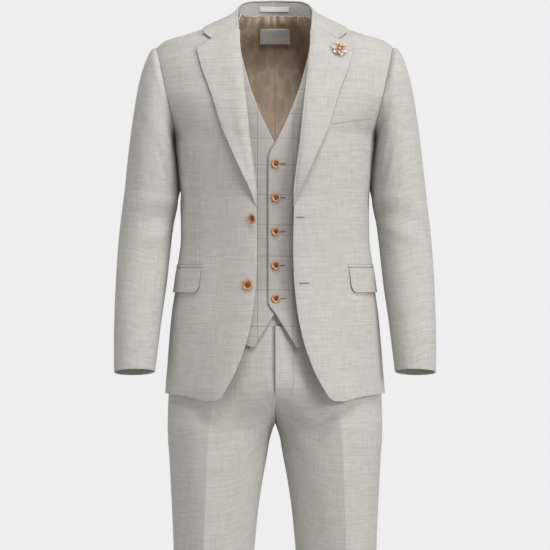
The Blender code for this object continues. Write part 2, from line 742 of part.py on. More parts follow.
def waistcoat_front_grid(lift, columns=9):
    """Front panel of the left side; the lift raises its overlapping edge."""
    edge_line = true_line(WAISTCOAT_EDGE, WAISTCOAT)
    edge = by_height(edge_line)
    hem_line = true_line(WAISTCOAT_HEM, WAISTCOAT)
    hem = Profile(hem_line)
    shoulder, armhole, body = waistcoat_levels()
    levels = shoulder + armhole + body
    point_x, point_z = hem_line[0]
    low_turn = WAISTCOAT.turn_of(point_x, point_z)
    grid = []
    for row in range(len(levels) + len(WAISTCOAT_HEM_SHARES)):
        line = []
        for column in range(columns):
            share = (column / (columns - 1)) ** EDGE_CROWDING
            hem_turn = blend(low_turn, WAISTCOAT_SIDE_TURN, share)
            x_at_hem = WAISTCOAT.at(hem_turn, WAISTCOAT_SIDE_HEM)[0]
            low = hem(x_at_hem)[0]
            if row < len(levels):
                height = levels[row]
            else:
                height = blend(levels[-1], low, WAISTCOAT_HEM_SHARES[row - len(levels)])
            edge_turn = WAISTCOAT.turn_of(edge(height)[0], height)
            end_turn = waistcoat_end_turn(height, armhole[0], False)
            turn = blend(edge_turn, end_turn, share)
            x = WAISTCOAT.at(turn, height)[0]
            raised = lift * (1 - smooth_step(OVERLAP_FADE[0], OVERLAP_FADE[1], x))
            raised *= smooth_step(-150, -235, height)
            line.append(WAISTCOAT.lifted(turn, height, raised))
        grid.append(line)
    return np.array(grid)


def neck_draw_in(turn, height):
    """How far the back lies deeper beside the neck, where the jacket's flat steps cut in."""
    beside = smooth_step(92, 112, turn) * (1 - smooth_step(140, 160, turn))
    return NECK_DRAW_IN * beside * smooth_step(-60, -25, height)


def waistcoat_back_grid(columns=8):
    shoulder, armhole, body = waistcoat_levels()
    levels = shoulder + armhole + body
    grid = []
    for row in range(len(levels) + len(WAISTCOAT_HEM_SHARES)):
        line = []
        for column in range(columns):
            share = column / (columns - 1)
            hem = blend(WAISTCOAT_SIDE_HEM, WAISTCOAT_BACK_HEM, share)
            if row < len(levels):
                height = levels[row]
            else:
                height = blend(levels[-1], hem, WAISTCOAT_HEM_SHARES[row - len(levels)])
            turn = blend(waistcoat_end_turn(height, armhole[0], True), 180.0, share)
            rise = (WAISTCOAT_NECK_TOP - WAISTCOAT_SHOULDER_TOP) * smooth_step(90, 122, turn)
            height += rise * (1 - smooth_step(0, NECK_RISE_ROWS, row))
            line.append(WAISTCOAT.lifted(turn, height, -neck_draw_in(turn, height)))
        grid.append(line)
    return np.array(grid)


def build_waistcoat(collection):
    left = trimmed(waistcoat_front_grid(OVERLAP_LIFT))
    right = mirrored(trimmed(waistcoat_front_grid(0.0)))
    make_sheet("waistcoat_front_left", left, CLOTH, "waistcoat_cloth", collection)
    make_sheet("waistcoat_front_right", right, CLOTH, "waistcoat_cloth", collection)
    back = trimmed(waistcoat_back_grid())
    make_pair("waistcoat_back", back, LIGHT_CLOTH, "lining_satin", collection)


# Trousers

def quarter_point(seam, crease, angle_limit, share):
    """Point between a leg seam (rounded) and a pressed crease (pointed)."""
    angle = math.radians(angle_limit) * share
    limit = math.radians(angle_limit)
    across = (1 - math.cos(angle)) / (1 - math.cos(limit))
    deep = math.sin(angle) / math.sin(limit)
    x = blend(seam[0], crease[0], across)
    y = blend(seam[1], crease[1], deep)
    return np.array([x, y])


def trouser_row(height, behind, half_columns):
    """Points of a leg panel at a height, from the centre or inner seam to the outer seam."""
    inner_x, crease_x, outer_x, front, back = Profile(LEG_FORM)(height)
    angle_limit = Profile(CREASE_ANGLE)(height)[0]
    way = 1 if behind else -1
    crease = (crease_x, way * (back if behind else front))
    inner = (inner_x, LEG_SEAM_DEPTH)
    outer = (outer_x, LEG_SEAM_DEPTH * smooth_step(-800, -1000, height))
    leg = [quarter_point(inner, crease, angle_limit, share / half_columns)
           for share in range(half_columns + 1)]
    leg += [quarter_point(outer, crease, angle_limit, 1 - share / half_columns)
            for share in range(1, half_columns + 1)]
    power = BACK_FORK_POWER if behind else FRONT_FORK_POWER
    fork = min(max((FORK_TOP - height) / (FORK_TOP - FORK_LOW), 0.0), 1.0) ** power
    if fork == 1.0:
        return [np.array([x, y, height]) for x, y in leg]
    crease_turn = TROUSERS.turn_of(crease_x, height, behind)
    centre_turn = 180.0 if behind else 0.0
    turns = [blend(centre_turn, crease_turn, share / half_columns)
             for share in range(half_columns + 1)]
    turns += [blend(crease_turn, 90.0, share / half_columns)
              for share in range(1, half_columns + 1)]
    row = []
    for turn, (x, y) in zip(turns, leg):
        trunk = TROUSERS.at(turn, height)
        row.append(blend(trunk, np.array([x, y, height]), fork))
    return row


def trouser_grid(behind, half_columns=4):
    grid = np.array([trouser_row(height, behind, half_columns) for height in TROUSER_LEVELS])
    if behind:
        grid = grid[:, ::-1]
    grid = trimmed(grid, room=0.1)
    grid[..., 0] = np.maximum(grid[..., 0], HALF_GAP + 0.05)
    return grid


def waistband_grid(columns=15):
    turns = [blend(0.0, 180.0, column / (columns - 1)) for column in range(columns)]
    heights = (WAISTBAND_TOP, (WAISTBAND_TOP + WAISTBAND_LOW) / 2, WAISTBAND_LOW)
    return np.array([[TROUSERS.at(turn, height) for turn in turns] for height in heights])


def fly_shield_grid():
    """Strip behind the fly opening, a little wider than the opening and ending at its foot."""
    rows = []
    for height in (-607, -640, -672, -702):
        narrow = 6 * smooth_step(-670, -702, height)
        front = np.array(trouser_row(height, False, 4))
        line = []
        for x in (-22 + narrow, 0, 24 - narrow):
            y = np.interp(abs(x), front[:, 0], front[:, 1])
            line.append((x, y + CLOTH + 2 * LAID_GAP, height))
        rows.append(line)
    return np.array(rows)


def build_trousers(collection):
    make_pair("trouser_front", trouser_grid(False), CLOTH, "suit_cloth", collection)
    make_pair("trouser_back", trouser_grid(True), CLOTH, "suit_cloth", collection)
    make_pair("waistband", trimmed(waistband_grid()), CLOTH, "suit_cloth", collection)
    make_sheet("fly_shield", fly_shield_grid(), LIGHT_CLOTH, "suit_cloth", collection)


# Buttons, tape, label and flower

def turned_solid(name, profile, steps, placement, finish, collection, radius_change=None):
    """Closed turned body: the profile runs (radius, height) from the top centre to the back."""
    body = bmesh.new()
    rings = []
    for radius, height in profile:
        if radius == 0:
            rings.append([body.verts.new(placement @ Vector((0, 0, height * MM)))])
            continue
        ring = []
        for step in range(steps):
            angle = 2 * math.pi * step / steps
            scale = radius_change(angle, radius) if radius_change else 1.0
            spot = Vector((math.cos(angle) * radius * scale, math.sin(angle) * radius * scale, height))
            ring.append(body.verts.new(placement @ (spot * MM)))
        rings.append(ring)
    for upper, lower in zip(rings[:-1], rings[1:]):
        for step in range(steps):
            following = (step + 1) % steps
            if len(upper) == 1:
                body.faces.new((upper[0], lower[step], lower[following]))
            elif len(lower) == 1:
                body.faces.new((upper[step], lower[0], upper[following]))
            else:
                body.faces.new((upper[step], lower[step], lower[following], upper[following]))
    bmesh.ops.recalc_face_normals(body, faces=body.faces)
    mesh = bpy.data.meshes.new(name)
    body.to_mesh(mesh)
    body.free()
    return finish_object(name, mesh, finish, collection)


def placement_on(point, normal, turned=0.0):
    """Frame with its Z along the normal, turned about the upright axis by some degrees."""
    facing = Matrix.Rotation(math.radians(turned), 3, "Z") @ Vector(normal)
    across = Vector((0, 0, 1)).cross(facing).normalized()
    upright = facing.cross(across).normalized()
    frame = Matrix((across, upright, facing)).transposed().to_4x4()
    frame.translation = Vector(point) * MM
    return frame


def button_profile(radius):
    """Dished face, rounded rim and flat back, standing on its back."""
    return [
        (0, 1.9), (radius * 0.62, 2.0), (radius * 0.76, 3.0), (radius * 0.93, 2.9),
        (radius, 1.9), (radius * 0.9, 0.5), (radius * 0.7, 0.0), (0, 0.0),
    ]


def build_buttons(collection):
    for label, x, height, radius, turned in JACKET_BUTTONS:
        true_x, true_z = true_line([(x, height)], JACKET)[0]
        turn = JACKET.turn_of(true_x, true_z)
        lift = SEAM_GAP + 0.85 * radius * math.sin(math.radians(turned))
        point = JACKET.lifted(turn, true_z, lift)
        frame = placement_on(point, JACKET.normal(turn, true_z), -turned)
        turned_solid("jacket_button_" + label, button_profile(radius), BUTTON_STEPS, frame,
                     "button_horn", collection)
    for index, height in enumerate(WAISTCOAT_BUTTON_HEIGHTS, start=1):
        true_x, true_z = true_line([(WAISTCOAT_BUTTON_X, height)], WAISTCOAT)[0]
        turn = WAISTCOAT.turn_of(true_x, true_z)
        point = WAISTCOAT.lifted(turn, true_z, OVERLAP_LIFT + 2 * SEAM_GAP)
        frame = placement_on(point, WAISTCOAT.normal(turn, true_z))
        turned_solid("waistcoat_button_" + str(index), button_profile(WAISTCOAT_BUTTON_RADIUS),
                     BUTTON_STEPS, frame, "button_horn", collection)


def build_flower(collection):
    petals = 5
    x, z = true_line([FLOWER_PLACE], JACKET)[0]
    turn = JACKET.turn_of(x, z)
    point = JACKET.lifted(turn, z, laid_lift() + 2.6)
    frame = placement_on(point, JACKET.normal(turn, z))

    def lobes(angle, radius):
        depth = 0.16 * min(radius / FLOWER_RADIUS, 1.0)
        return 1 - depth + depth * math.cos(petals * angle)

    profile = [
        (0, 9.0), (2.8, 8.4), (4.2, 6.4), (7.5, 7.4), (9.5, 4.2), (13.0, 4.6),
        (FLOWER_RADIUS, 2.6), (13.0, 0.0), (0, 0.0),
    ]
    turned_solid("lapel_flower", profile, petals * 5, frame, "flower_cloth", collection, lobes)


def build_neck_pieces(collection):
    stand = collar_stand_grid(first_station=4.0)
    inner_side = -(LIGHT_CLOTH + 2.8 * LAID_GAP)
    top_point, low_point = stand[len(stand) // 2][0], stand[len(stand) // 2][2]
    rows = []
    for height in (LOOP_HEIGHTS[1], LOOP_HEIGHTS[0]):
        share = (top_point[2] - height) / (top_point[2] - low_point[2])
        line = []
        for step in range(7):
            x = blend(LOOP_SPAN[1], LOOP_SPAN[0], step / 6)
            side = stand[:, 0] + (stand[:, 2] - stand[:, 0]) * share
            order = np.argsort(side[:, 0])
            y = np.interp(x, side[order, 0], side[order, 1])
            line.append((x, y + inner_side, height))
        rows.append(line)
    make_sheet("hanger_loop", np.array(rows), TAPE_THICKNESS, "tape", collection)
    rows = []
    for height in np.linspace(LABEL_HEIGHTS[0], LABEL_HEIGHTS[1], 3):
        xs = np.linspace(LABEL_HALF_WIDTH, -LABEL_HALF_WIDTH, 7)
        lift = -(LIGHT_CLOTH + 2.5 * LAID_GAP)
        rows.append([WAISTCOAT.on(x, float(height), lift, behind=True) for x in xs])
    make_sheet("neck_label", np.array(rows), TAPE_THICKNESS, "label_cloth", collection)


def main():
    for item in list(bpy.data.objects):
        bpy.data.objects.remove(item, do_unlink=True)
    collection = bpy.data.collections.new("three_piece_suit")
    bpy.context.scene.collection.children.link(collection)
    build_jacket_body(collection)
    build_collar(collection)
    build_sleeves(collection)
    build_pockets(collection)
    build_waistcoat(collection)
    build_trousers(collection)
    build_buttons(collection)
    build_flower(collection)
    build_neck_pieces(collection)


main()
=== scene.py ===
"""Looks of a three-piece suit in pale grey slub linen, kept in its worn form.

Sizes are in millimetres and turn into metres when a mesh is made. The origin is the base of the
back neck, +Z is up and the front faces -Y, so the wearer's left is at +X.
"""
from __future__ import annotations

import logging
import math
from dataclasses import dataclass, field
from enum import Enum
from functools import reduce
from typing import Iterable, Sequence

import bpy
import numpy as np
from mathutils import Matrix, Vector


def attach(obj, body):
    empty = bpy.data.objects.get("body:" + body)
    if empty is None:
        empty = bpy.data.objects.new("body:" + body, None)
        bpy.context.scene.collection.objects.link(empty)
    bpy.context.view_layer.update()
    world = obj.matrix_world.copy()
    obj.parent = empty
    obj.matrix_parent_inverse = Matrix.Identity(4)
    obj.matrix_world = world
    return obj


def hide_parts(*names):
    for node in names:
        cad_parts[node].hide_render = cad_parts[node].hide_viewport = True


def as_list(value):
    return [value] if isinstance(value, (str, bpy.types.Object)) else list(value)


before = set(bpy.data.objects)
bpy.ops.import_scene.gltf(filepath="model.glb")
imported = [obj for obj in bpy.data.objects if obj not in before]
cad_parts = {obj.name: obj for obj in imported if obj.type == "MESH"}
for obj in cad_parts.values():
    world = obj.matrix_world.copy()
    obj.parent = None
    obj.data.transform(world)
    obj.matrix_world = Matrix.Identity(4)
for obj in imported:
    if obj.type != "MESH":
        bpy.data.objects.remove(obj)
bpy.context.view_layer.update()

log = logging.getLogger("suit")

MM = 0.001
BODY = "root"

# Cloth walls
CLOTH = 2.0
LIGHT_CLOTH = 1.4
LAID_CLOTH = 1.8
LAID_LIFT = 2.4
HALF_GAP = 0.15

# Height at which the weft of a body panel runs level
GRAIN_LEVEL = -250.0

# The front lines were read from this eye point, so nearer cloth is brought back to its true size
EYE_LEVEL = -505.0
EYE_DISTANCE = 6000.0
PHOTO_WIDTH_AT_SUIT = 1072.5
SENSOR_WIDTH = 36.0
FLOOR_LEVEL = -1606.0
LIGHTS_AIM = (0, 0, -0.45)
# Name, place and size in metres, power in watts
LIGHTS = (
    ("key", (4.6, -4.0, 1.2), 2.2, 255.0), ("left", (-4.8, -2.0, 0.6), 3.0, 76.0),
    ("top", (0.6, -2.4, 3.7), 1.6, 165.0), ("back", (-1.0, 5.0, 2.0), 3.0, 90.0),
)

# Rings of the forms: |x / half width| ** FORM_POWER + (y / depth) ** 2 = 1
FORM_POWER = 2.3

Points = np.ndarray
Number = np.ndarray | float
Piece = bpy.types.Object
Material = bpy.types.Material
Table = Sequence[Sequence[float]]
Span = tuple[float, float]
Line = tuple[tuple[float, float], ...]
Rows = tuple[tuple[float, ...], ...]

# Distances from an edge, and from a sewn line, at which a cloth grid has lines of points
EDGE_STEPS = np.array([0.2, 0.45, 0.8, 1.3, 2.2])
HEM_STEPS = np.array([0.25, 0.6, 1.1, 1.8])
SEAM_STEPS = np.array([-2.4, -1.4, -0.8, -0.35, 0, 0.35, 0.8, 1.4, 2.4])
LEAST_STEP = 0.12


def blend(start: Number, end: Number, share: Number):
    """Mix of two values.

    Args:
        start: Value at share 0.
        end: Value at share 1.
        share: How far from the start to the end.

    Returns:
        The mixed value.
    """
    return start + (end - start) * share


def smooth_step(low: float, high: float, value: Number) -> np.ndarray:
    """Soft step from 0 at low to 1 at high.

    Args:
        low: Where the step starts.
        high: Where it ends.
        value: Places at which it is read.

    Returns:
        Values from 0 to 1.
    """
    share = np.clip((np.asarray(value, dtype=float) - low) / (high - low), 0.0, 1.0)
    return share * share * (3 - 2 * share)


def hump(value: Number, middle: float, width: float) -> np.ndarray:
    """Bell curve: 1 at its middle, near 0 two widths away."""
    return np.exp(-((np.asarray(value, dtype=float) - middle) / width) ** 2)


class Profile:
    """Smooth curve through the rows of a table, looked up by its first column."""

    def __init__(self, rows: Iterable[Sequence[float]]) -> None:
        """Sorts the rows and finds a slope at each.

        Args:
            rows: Table rows, the first column being the key.
        """
        ordered = np.array(sorted(tuple(row) for row in rows), dtype=float)
        self.keys = ordered[:, 0]
        self.values = ordered[:, 1:]
        grades = np.diff(self.values, axis=0) / np.diff(self.keys)[:, None]
        before, after = grades[:-1], grades[1:]
        same_way = before * after > 0
        total = np.where(same_way, before + after, 1.0)
        inner = np.where(same_way, 2 * before * after / total, 0.0)
        self.slopes = np.vstack([grades[:1], inner, grades[-1:]])

    def __call__(self, key: Number) -> np.ndarray:
        """Values at some keys.

        Args:
            key: One key, or an array of them.

        Returns:
            Array with one more axis than the keys, which holds the table's other columns.
        """
        key = np.clip(np.asarray(key, dtype=float), self.keys[0], self.keys[-1])
        row = np.searchsorted(self.keys, key, side="right") - 1
        row = np.clip(row, 0, len(self.keys) - 2)
        span = (self.keys[row + 1] - self.keys[row])[..., None]
        t = (key - self.keys[row])[..., None] / span
        start = (1 + 2 * t) * (1 - t) ** 2 * self.values[row]
        start_slope = t * (1 - t) ** 2 * span * self.slopes[row]
        end = t * t * (3 - 2 * t) * self.values[row + 1]
        end_slope = t * t * (t - 1) * span * self.slopes[row + 1]
        return start + start_slope + end + end_slope

    def first(self, key: Number) -> np.ndarray:
        """The first value column at some keys."""
        return self(key)[..., 0]


def station_profile(rows: Sequence[Sequence[float] | np.ndarray]) -> Profile:
    """Profile over rows numbered 0, 1, 2 and so on."""
    return Profile([(index, *np.ravel(row)) for index, row in enumerate(rows)])


class Form:
    """Worn shape: a ring at each height, turned from the front centre round to the back."""

    def __init__(self, rows: Table) -> None:
        """Keeps the rings.

        Args:
            rows: Height, half width, front depth and back depth of each ring.
        """
        self.profile = Profile(rows)

    def at(self, turn: Number, height: Number) -> Points:
        """Points of the form.

        Args:
            turn: Degrees from the front centre, below 0 on the wearer's right.
            height: Height of each point.

        Returns:
            Points, the last axis being x, y, z.
        """
        turn, height = np.broadcast_arrays(np.asarray(turn, float), np.asarray(height, float))
        sizes = self.profile(height)
        angle = np.radians(np.abs(turn))
        x = sizes[..., 0] * np.abs(np.sin(angle)) ** (2 / FORM_POWER)
        depth = np.where(np.abs(turn) < 90, sizes[..., 1], sizes[..., 2])
        return np.stack([np.copysign(x, turn), -depth * np.cos(angle), height], axis=-1)

    def turn_of(self, x: Number, height: Number, behind: bool = False) -> np.ndarray:
        """Turn at which the form reaches x at a height.

        Args:
            x: Sideways place.
            height: Height of each place.
            behind: Whether the place lies on the back.

        Returns:
            Degrees from the front centre.
        """
        share = np.minimum(np.abs(x) / self.profile.first(height), 1.0)
        turn = np.degrees(np.arcsin(share ** (FORM_POWER / 2)))
        return np.copysign(180 - turn if behind else turn, x)

    def normal(self, turn: Number, height: Number) -> Points:
        """Outward directions of the form at some turns and heights."""
        around = self.at(np.add(turn, 0.6), height) - self.at(np.subtract(turn, 0.6), height)
        upward = self.at(turn, np.add(height, 1.5)) - self.at(turn, np.subtract(height, 1.5))
        across = np.cross(around, upward)
        return across / np.linalg.norm(across, axis=-1, keepdims=True)

    def lifted(self, turn: Number, height: Number, lift: Number) -> Points:
        """Points that stand off the form by a lift."""
        return self.at(turn, height) + np.asarray(lift)[..., None] * self.normal(turn, height)

    def on(self, x: Number, height: Number, lift: Number = 0.0, behind: bool = False) -> Points:
        """Points over places given by x and height."""
        return self.lifted(self.turn_of(x, height, behind), height, lift)


def true_line(seen: Table, form: Form) -> list[tuple[float, float]]:
    """Rows (x, height) as seen from the eye point, brought back to their true size.

    Args:
        seen: Rows as seen.
        form: The form that they lie on.

    Returns:
        Rows in true size.
    """
    rows = []
    for x, height in seen:
        true_x, true_height = x, height
        for _ in range(3):
            scale = 1.0 + float(form.on(true_x, true_height)[1]) / EYE_DISTANCE
            true_x = x * scale
            true_height = EYE_LEVEL + (height - EYE_LEVEL) * scale
        rows.append((true_x, true_height))
    return rows


def by_height(line: Table) -> Profile:
    """Rows (x, height) as a profile that gives x at a height."""
    return Profile([(height, x) for x, height in line])


def shares(count: int, length: float, first: bool = True,
           marks: Sequence[float] = ()) -> np.ndarray:
    """Even shares from 0 to 1, closer together where an edge rolls over or a seam is sewn.

    Args:
        count: Number of even steps.
        length: Length in millimetres that the shares stand for.
        first: Whether the edge at 0 rolls over, as the edge at 1 does.
        marks: Shares of sewn lines between the two edges.

    Returns:
        The shares in order.
    """
    close = EDGE_STEPS / length
    places = [np.linspace(0, 1, count + 1), 1 - close]
    if first:
        places.append(close)
    for mark in marks:
        places.append(mark + SEAM_STEPS / length)
    merged = np.unique(np.round(np.concatenate(places), 6))
    keep = [merged[0]]
    for place in merged[1:]:
        if place - keep[-1] > LEAST_STEP / length:
            keep.append(place)
    keep[-1] = 1.0
    return np.array(keep)


def row_places(lengths: Sequence[float], step: float, least: int, end_length: float,
               top: Sequence[float] = (0.0,)) -> np.ndarray:
    """Row numbers close enough together for a smooth cloth, closer still at the hem.

    Args:
        lengths: Length of cloth between each whole row and the next.
        step: Greatest length between two row numbers.
        least: Fewest steps between two whole rows.
        end_length: Length that one row stands for at the hem.
        top: Row numbers at the upper edge.

    Returns:
        Row numbers in order, whole and between.
    """
    rows = [np.array(top)]
    for row, length in enumerate(lengths):
        parts = max(int(length / step), least)
        rows.append(row + np.arange(1, parts + 1) / parts)
    rows.append(len(lengths) - HEM_STEPS / end_length)
    return np.unique(np.round(np.concatenate(rows), 5))


def round_the_neck(half: Sequence[Points]) -> Points:
    """Grid from one front end to the other, of the half up to the middle of the back."""
    half = np.array(half)
    return np.concatenate([half, half[:-1][::-1] * np.array([-1, 1, 1])])


def along(points: Points, axis: int) -> np.ndarray:
    """Length along the rows or columns of a grid of points.

    Args:
        points: Grid of points.
        axis: 0 for lengths down the columns, 1 for lengths along the rows.

    Returns:
        Running length from the first point of each line, in millimetres.
    """
    steps = np.linalg.norm(np.diff(points, axis=axis), axis=-1)
    start = np.zeros_like(np.take(steps, [0], axis=axis))
    return np.concatenate([start, np.cumsum(steps, axis=axis)], axis=axis)


def facing(points: Points) -> Points:
    """Outward directions of a grid whose columns run to the wearer's left and rows run down."""
    across = np.gradient(points, axis=1)
    down = np.gradient(points, axis=0)
    normals = np.cross(down, across)
    length = np.linalg.norm(normals, axis=-1, keepdims=True)
    return normals / np.maximum(length, 1e-9)


def rolled(points: Points, depth: float, reach: float, first_row: bool = True,
           last_row: bool = True, first_column: bool = True, last_column: bool = True) -> Points:
    """Grid whose edges roll over toward the inner side, as a turned or pressed edge does.

    Args:
        points: Grid of points.
        depth: How far an edge drops, in millimetres.
        reach: How far from the edge the drop starts.
        first_row: Whether the top edge rolls.
        last_row: Whether the bottom edge rolls.
        first_column: Whether the left edge of the grid rolls.
        last_column: Whether the right edge of the grid rolls.

    Returns:
        The changed grid.
    """
    down, across = along(points, 0), along(points, 1)
    drop = np.zeros(points.shape[:2])
    sides = [(first_row, down), (last_row, down[-1:] - down), (first_column, across),
             (last_column, across[:, -1:] - across)]
    for wanted, distance in sides:
        if wanted:
            near = np.clip(1 - distance / reach, 0, 1)
            drop = np.maximum(drop, depth * (1 - np.sqrt(1 - near ** 2)))
    return points - facing(points) * drop[..., None]


@dataclass(frozen=True)
class Fold:
    """Soft ridge (rise above 0) or trough (below 0) between two places of a piece's own map."""

    start: tuple[float, float]
    end: tuple[float, float]
    width: float
    rise: float
    bow: float = 0.0

    def height(self, across: np.ndarray, along_it: np.ndarray) -> np.ndarray:
        """How far the fold moves the cloth.

        Args:
            across: First coordinate of each place.
            along_it: Second coordinate of each place.

        Returns:
            Movement in millimetres.
        """
        line = np.subtract(self.end, self.start)
        length = float(np.hypot(*line))
        way = line / length
        x, y = across - self.start[0], along_it - self.start[1]
        share = (x * way[0] + y * way[1]) / length
        side = x * way[1] - y * way[0] - self.bow * 4 * share * (1 - share)
        inside = smooth_step(-0.12, 0.3, share) * (1 - smooth_step(0.7, 1.12, share))
        return self.rise * inside * np.exp(-(side / self.width) ** 2)


Folds = tuple[Fold, ...]


def fold_rows(*rows: Sequence[float]) -> Folds:
    """Folds from rows of start across and along, end across and along, width, rise, bow."""
    return tuple(Fold(tuple(row[:2]), tuple(row[2:4]), *row[4:]) for row in rows)


def folded(folds: Folds, across: np.ndarray, along_it: np.ndarray) -> np.ndarray:
    """Movement that all the folds of a piece add up to."""
    total = np.zeros(np.broadcast(across, along_it).shape)
    for fold in folds:
        total = total + fold.height(across, along_it)
    return total


def ease(points: Points, amount: float = 0.35) -> np.ndarray:
    """Slow unevenness that all cloth has.

    Args:
        points: Grid of points.
        amount: Size of the unevenness in millimetres.

    Returns:
        Movement in millimetres.
    """
    x, y, z = points[..., 0], points[..., 1], points[..., 2]
    waves = np.sin(x / 34 + 1.3 * np.sin(z / 74)) * np.sin(z / 57 + 0.8 + y / 60)
    waves += 0.25 * np.sin(x / 17 + z / 46 + 2.1) * np.sin(z / 28 - x / 52 + y / 33)
    return amount * waves


def mirrored(points: Points) -> Points:
    """The same grid on the other side, its faces still looking outward."""
    flipped = points[:, ::-1].copy()
    flipped[..., 0] *= -1
    return flipped


def deselect_all() -> None:
    """Leaves nothing selected, so that an operator acts on the new piece alone."""
    if bpy.context.object and bpy.context.object.mode != "OBJECT":
        bpy.ops.object.mode_set(mode="OBJECT")
    bpy.ops.object.select_all(action="DESELECT")


def pick(piece: Piece) -> None:
    """Makes a piece the only selected and the active one."""
    deselect_all()
    piece.select_set(True)
    bpy.context.view_layer.objects.active = piece


def smoothed(piece: Piece, degrees: float = 48.0) -> None:
    """Shades a piece smooth, apart from edges sharper than an angle."""
    pick(piece)
    bpy.ops.object.shade_smooth_by_angle(angle=math.radians(degrees))


def joined(pieces: Sequence[Piece], name: str) -> Piece:
    """Makes one piece of several.

    Args:
        pieces: The pieces; the first keeps its place.
        name: Name of the joined piece.

    Returns:
        The joined piece.
    """
    deselect_all()
    for piece in pieces:
        piece.select_set(True)
    bpy.context.view_layer.objects.active = pieces[0]
    if len(pieces) > 1:
        bpy.ops.object.join()
    whole = bpy.context.object
    whole.name = name
    whole.data.name = name
    return whole


def apply_modifiers(piece: Piece) -> None:
    """Applies every modifier of a piece in order."""
    pick(piece)
    for modifier in list(piece.modifiers):
        bpy.ops.object.modifier_apply(modifier=modifier.name)


@dataclass
class Cut:
    """A cut of cloth: its outer face as a grid of points, and where each point lies in the cloth."""

    name: str
    points: Points
    finish: Material
    inner_finish: Material | None = None
    thickness: float = CLOTH
    held: str = "hung"
    rests_on: tuple[str, ...] = ()
    map_points: Points | None = None
    check_points: Points | None = None
    allowance: float = 10.0
    narrow_allowance: float = 0.25
    least_share: float = 0.31
    least_cut: float = 10.0
    slot: str = "suit_cloth"
    tube: bool = False

    def cloth_map(self) -> Points:
        """Where each point lies in the cloth before it was sewn, in metres.

        Returns:
            Grid of places: the weft runs level across the body, or round a tube.
        """
        if self.map_points is not None:
            return self.map_points
        if self.tube:
            across, down = along(self.points, 1), along(self.points, 0)
            middle = across.shape[1] // 2
            u = across - across[:, middle:middle + 1]
            v = self.points[:1, :, 2] - down
            return np.stack([u, v], axis=-1) * MM
        across = along(self.points * np.array([1, 1, 0]), 1)
        down = along(self.points * np.array([0, 1, 1]), 0)
        inner = 0 if abs(self.points[0, 0, 0]) < abs(self.points[0, -1, 0]) else -1
        u = across - across[:, [inner]] + self.points[:, [inner], 0]
        level = np.abs(self.points[..., 2] - GRAIN_LEVEL).argmin(axis=0)
        columns = np.arange(self.points.shape[1])
        v = self.points[level, columns, 2] + down[level, columns] - down
        return np.stack([u, v], axis=-1) * MM

    def grid_object(self) -> Piece:
        """Adds a flat grid and lays its points where the cloth lies.

        Returns:
            The open sheet.
        """
        rows, columns = self.points.shape[:2]
        deselect_all()
        bpy.ops.mesh.primitive_grid_add(x_subdivisions=columns - 1, y_subdivisions=rows - 1,
                                        size=2.0, calc_uvs=True)
        piece = bpy.context.object
        piece.name = piece.data.name = self.name + "_cloth"
        mesh = piece.data
        flat = np.empty(len(mesh.vertices) * 3)
        mesh.vertices.foreach_get("co", flat)
        flat = flat.reshape(-1, 3)
        column = np.rint((flat[:, 0] + 1) / 2 * (columns - 1)).astype(int)
        row = rows - 1 - np.rint((flat[:, 1] + 1) / 2 * (rows - 1)).astype(int)
        mesh.vertices.foreach_set("co", (self.points[row, column] * MM).ravel())
        corners = np.empty(len(mesh.loops), dtype=int)
        mesh.loops.foreach_get("vertex_index", corners)
        places = self.cloth_map()[row, column]
        layer = mesh.uv_layers.active
        layer.name = "cloth"
        layer.data.foreach_set("uv", places[corners].ravel())
        if self.check_points is not None:
            checks = mesh.uv_layers.new(name="checks")
            checks.data.foreach_set("uv", self.check_points[row, column][corners].ravel())
        mesh.update()
        return piece

    def flat_size(self) -> tuple[tuple[float, float], float]:
        """Width and length that the piece is cut to, and the area of that cut, in metres."""
        across, down = along(self.points, 1), along(self.points, 0)
        sides = across[0, -1] + across[-1, -1] + down[-1, 0] + down[-1, -1]
        first = np.cross(self.points[1:, 1:] - self.points[:-1, :-1],
                         self.points[1:, :-1] - self.points[:-1, 1:])
        sewn = np.linalg.norm(first, axis=-1).sum() / 2
        allowance = min(self.allowance, self.narrow_allowance * sewn / sides)
        width = round(float(across[:, -1].max() + 2 * allowance) * MM, 3)
        length = round(max(float(down[-1].max() + 2 * allowance), self.least_cut) * MM, 3)
        area = float(sewn + allowance * sides) * MM * MM
        share = min(max(area / (width * length), self.least_share), 1.0)
        return (width, length), round(share * width * length, 7)

    def make(self) -> Piece:
        """Returns:
            The finished piece.
        """
        piece = self.grid_object()
        piece.data.materials.append(self.finish)
        wall = piece.modifiers.new("wall", "SOLIDIFY")
        wall.thickness = self.thickness * MM
        wall.offset = -1.0
        wall.use_even_offset = False
        if self.inner_finish is not None:
            piece.data.materials.append(self.inner_finish)
            wall.material_offset = 1
        apply_modifiers(piece)
        smoothed(piece)
        settle(piece, self.slot, (self.name,))
        flat, area = self.flat_size()
        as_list(self.rests_on)
        self.log_size(piece, flat)
        return piece

    def log_size(self, piece: Piece, flat: tuple[float, float]) -> None:
        """Reports a finished piece and the size it was cut to."""
        log.info("%s: %d faces, cut %s m", piece.name, len(piece.data.polygons), flat)


def settle(piece: Piece, slot: str, nodes: Sequence[str] = ()) -> Piece:
    """Attaches a finished piece to the suit's body and hides the solids that it stands for.

    Args:
        piece: The finished piece.
        slot: Name of its finish slot; not used.
        nodes: Solids that it stands for.

    Returns:
        The same piece.
    """
    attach(piece, BODY)
    if nodes:
        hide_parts(*nodes)
    return piece


Colour = tuple[float, float, float, float]
Socket = bpy.types.NodeSocket
Value = float | Socket


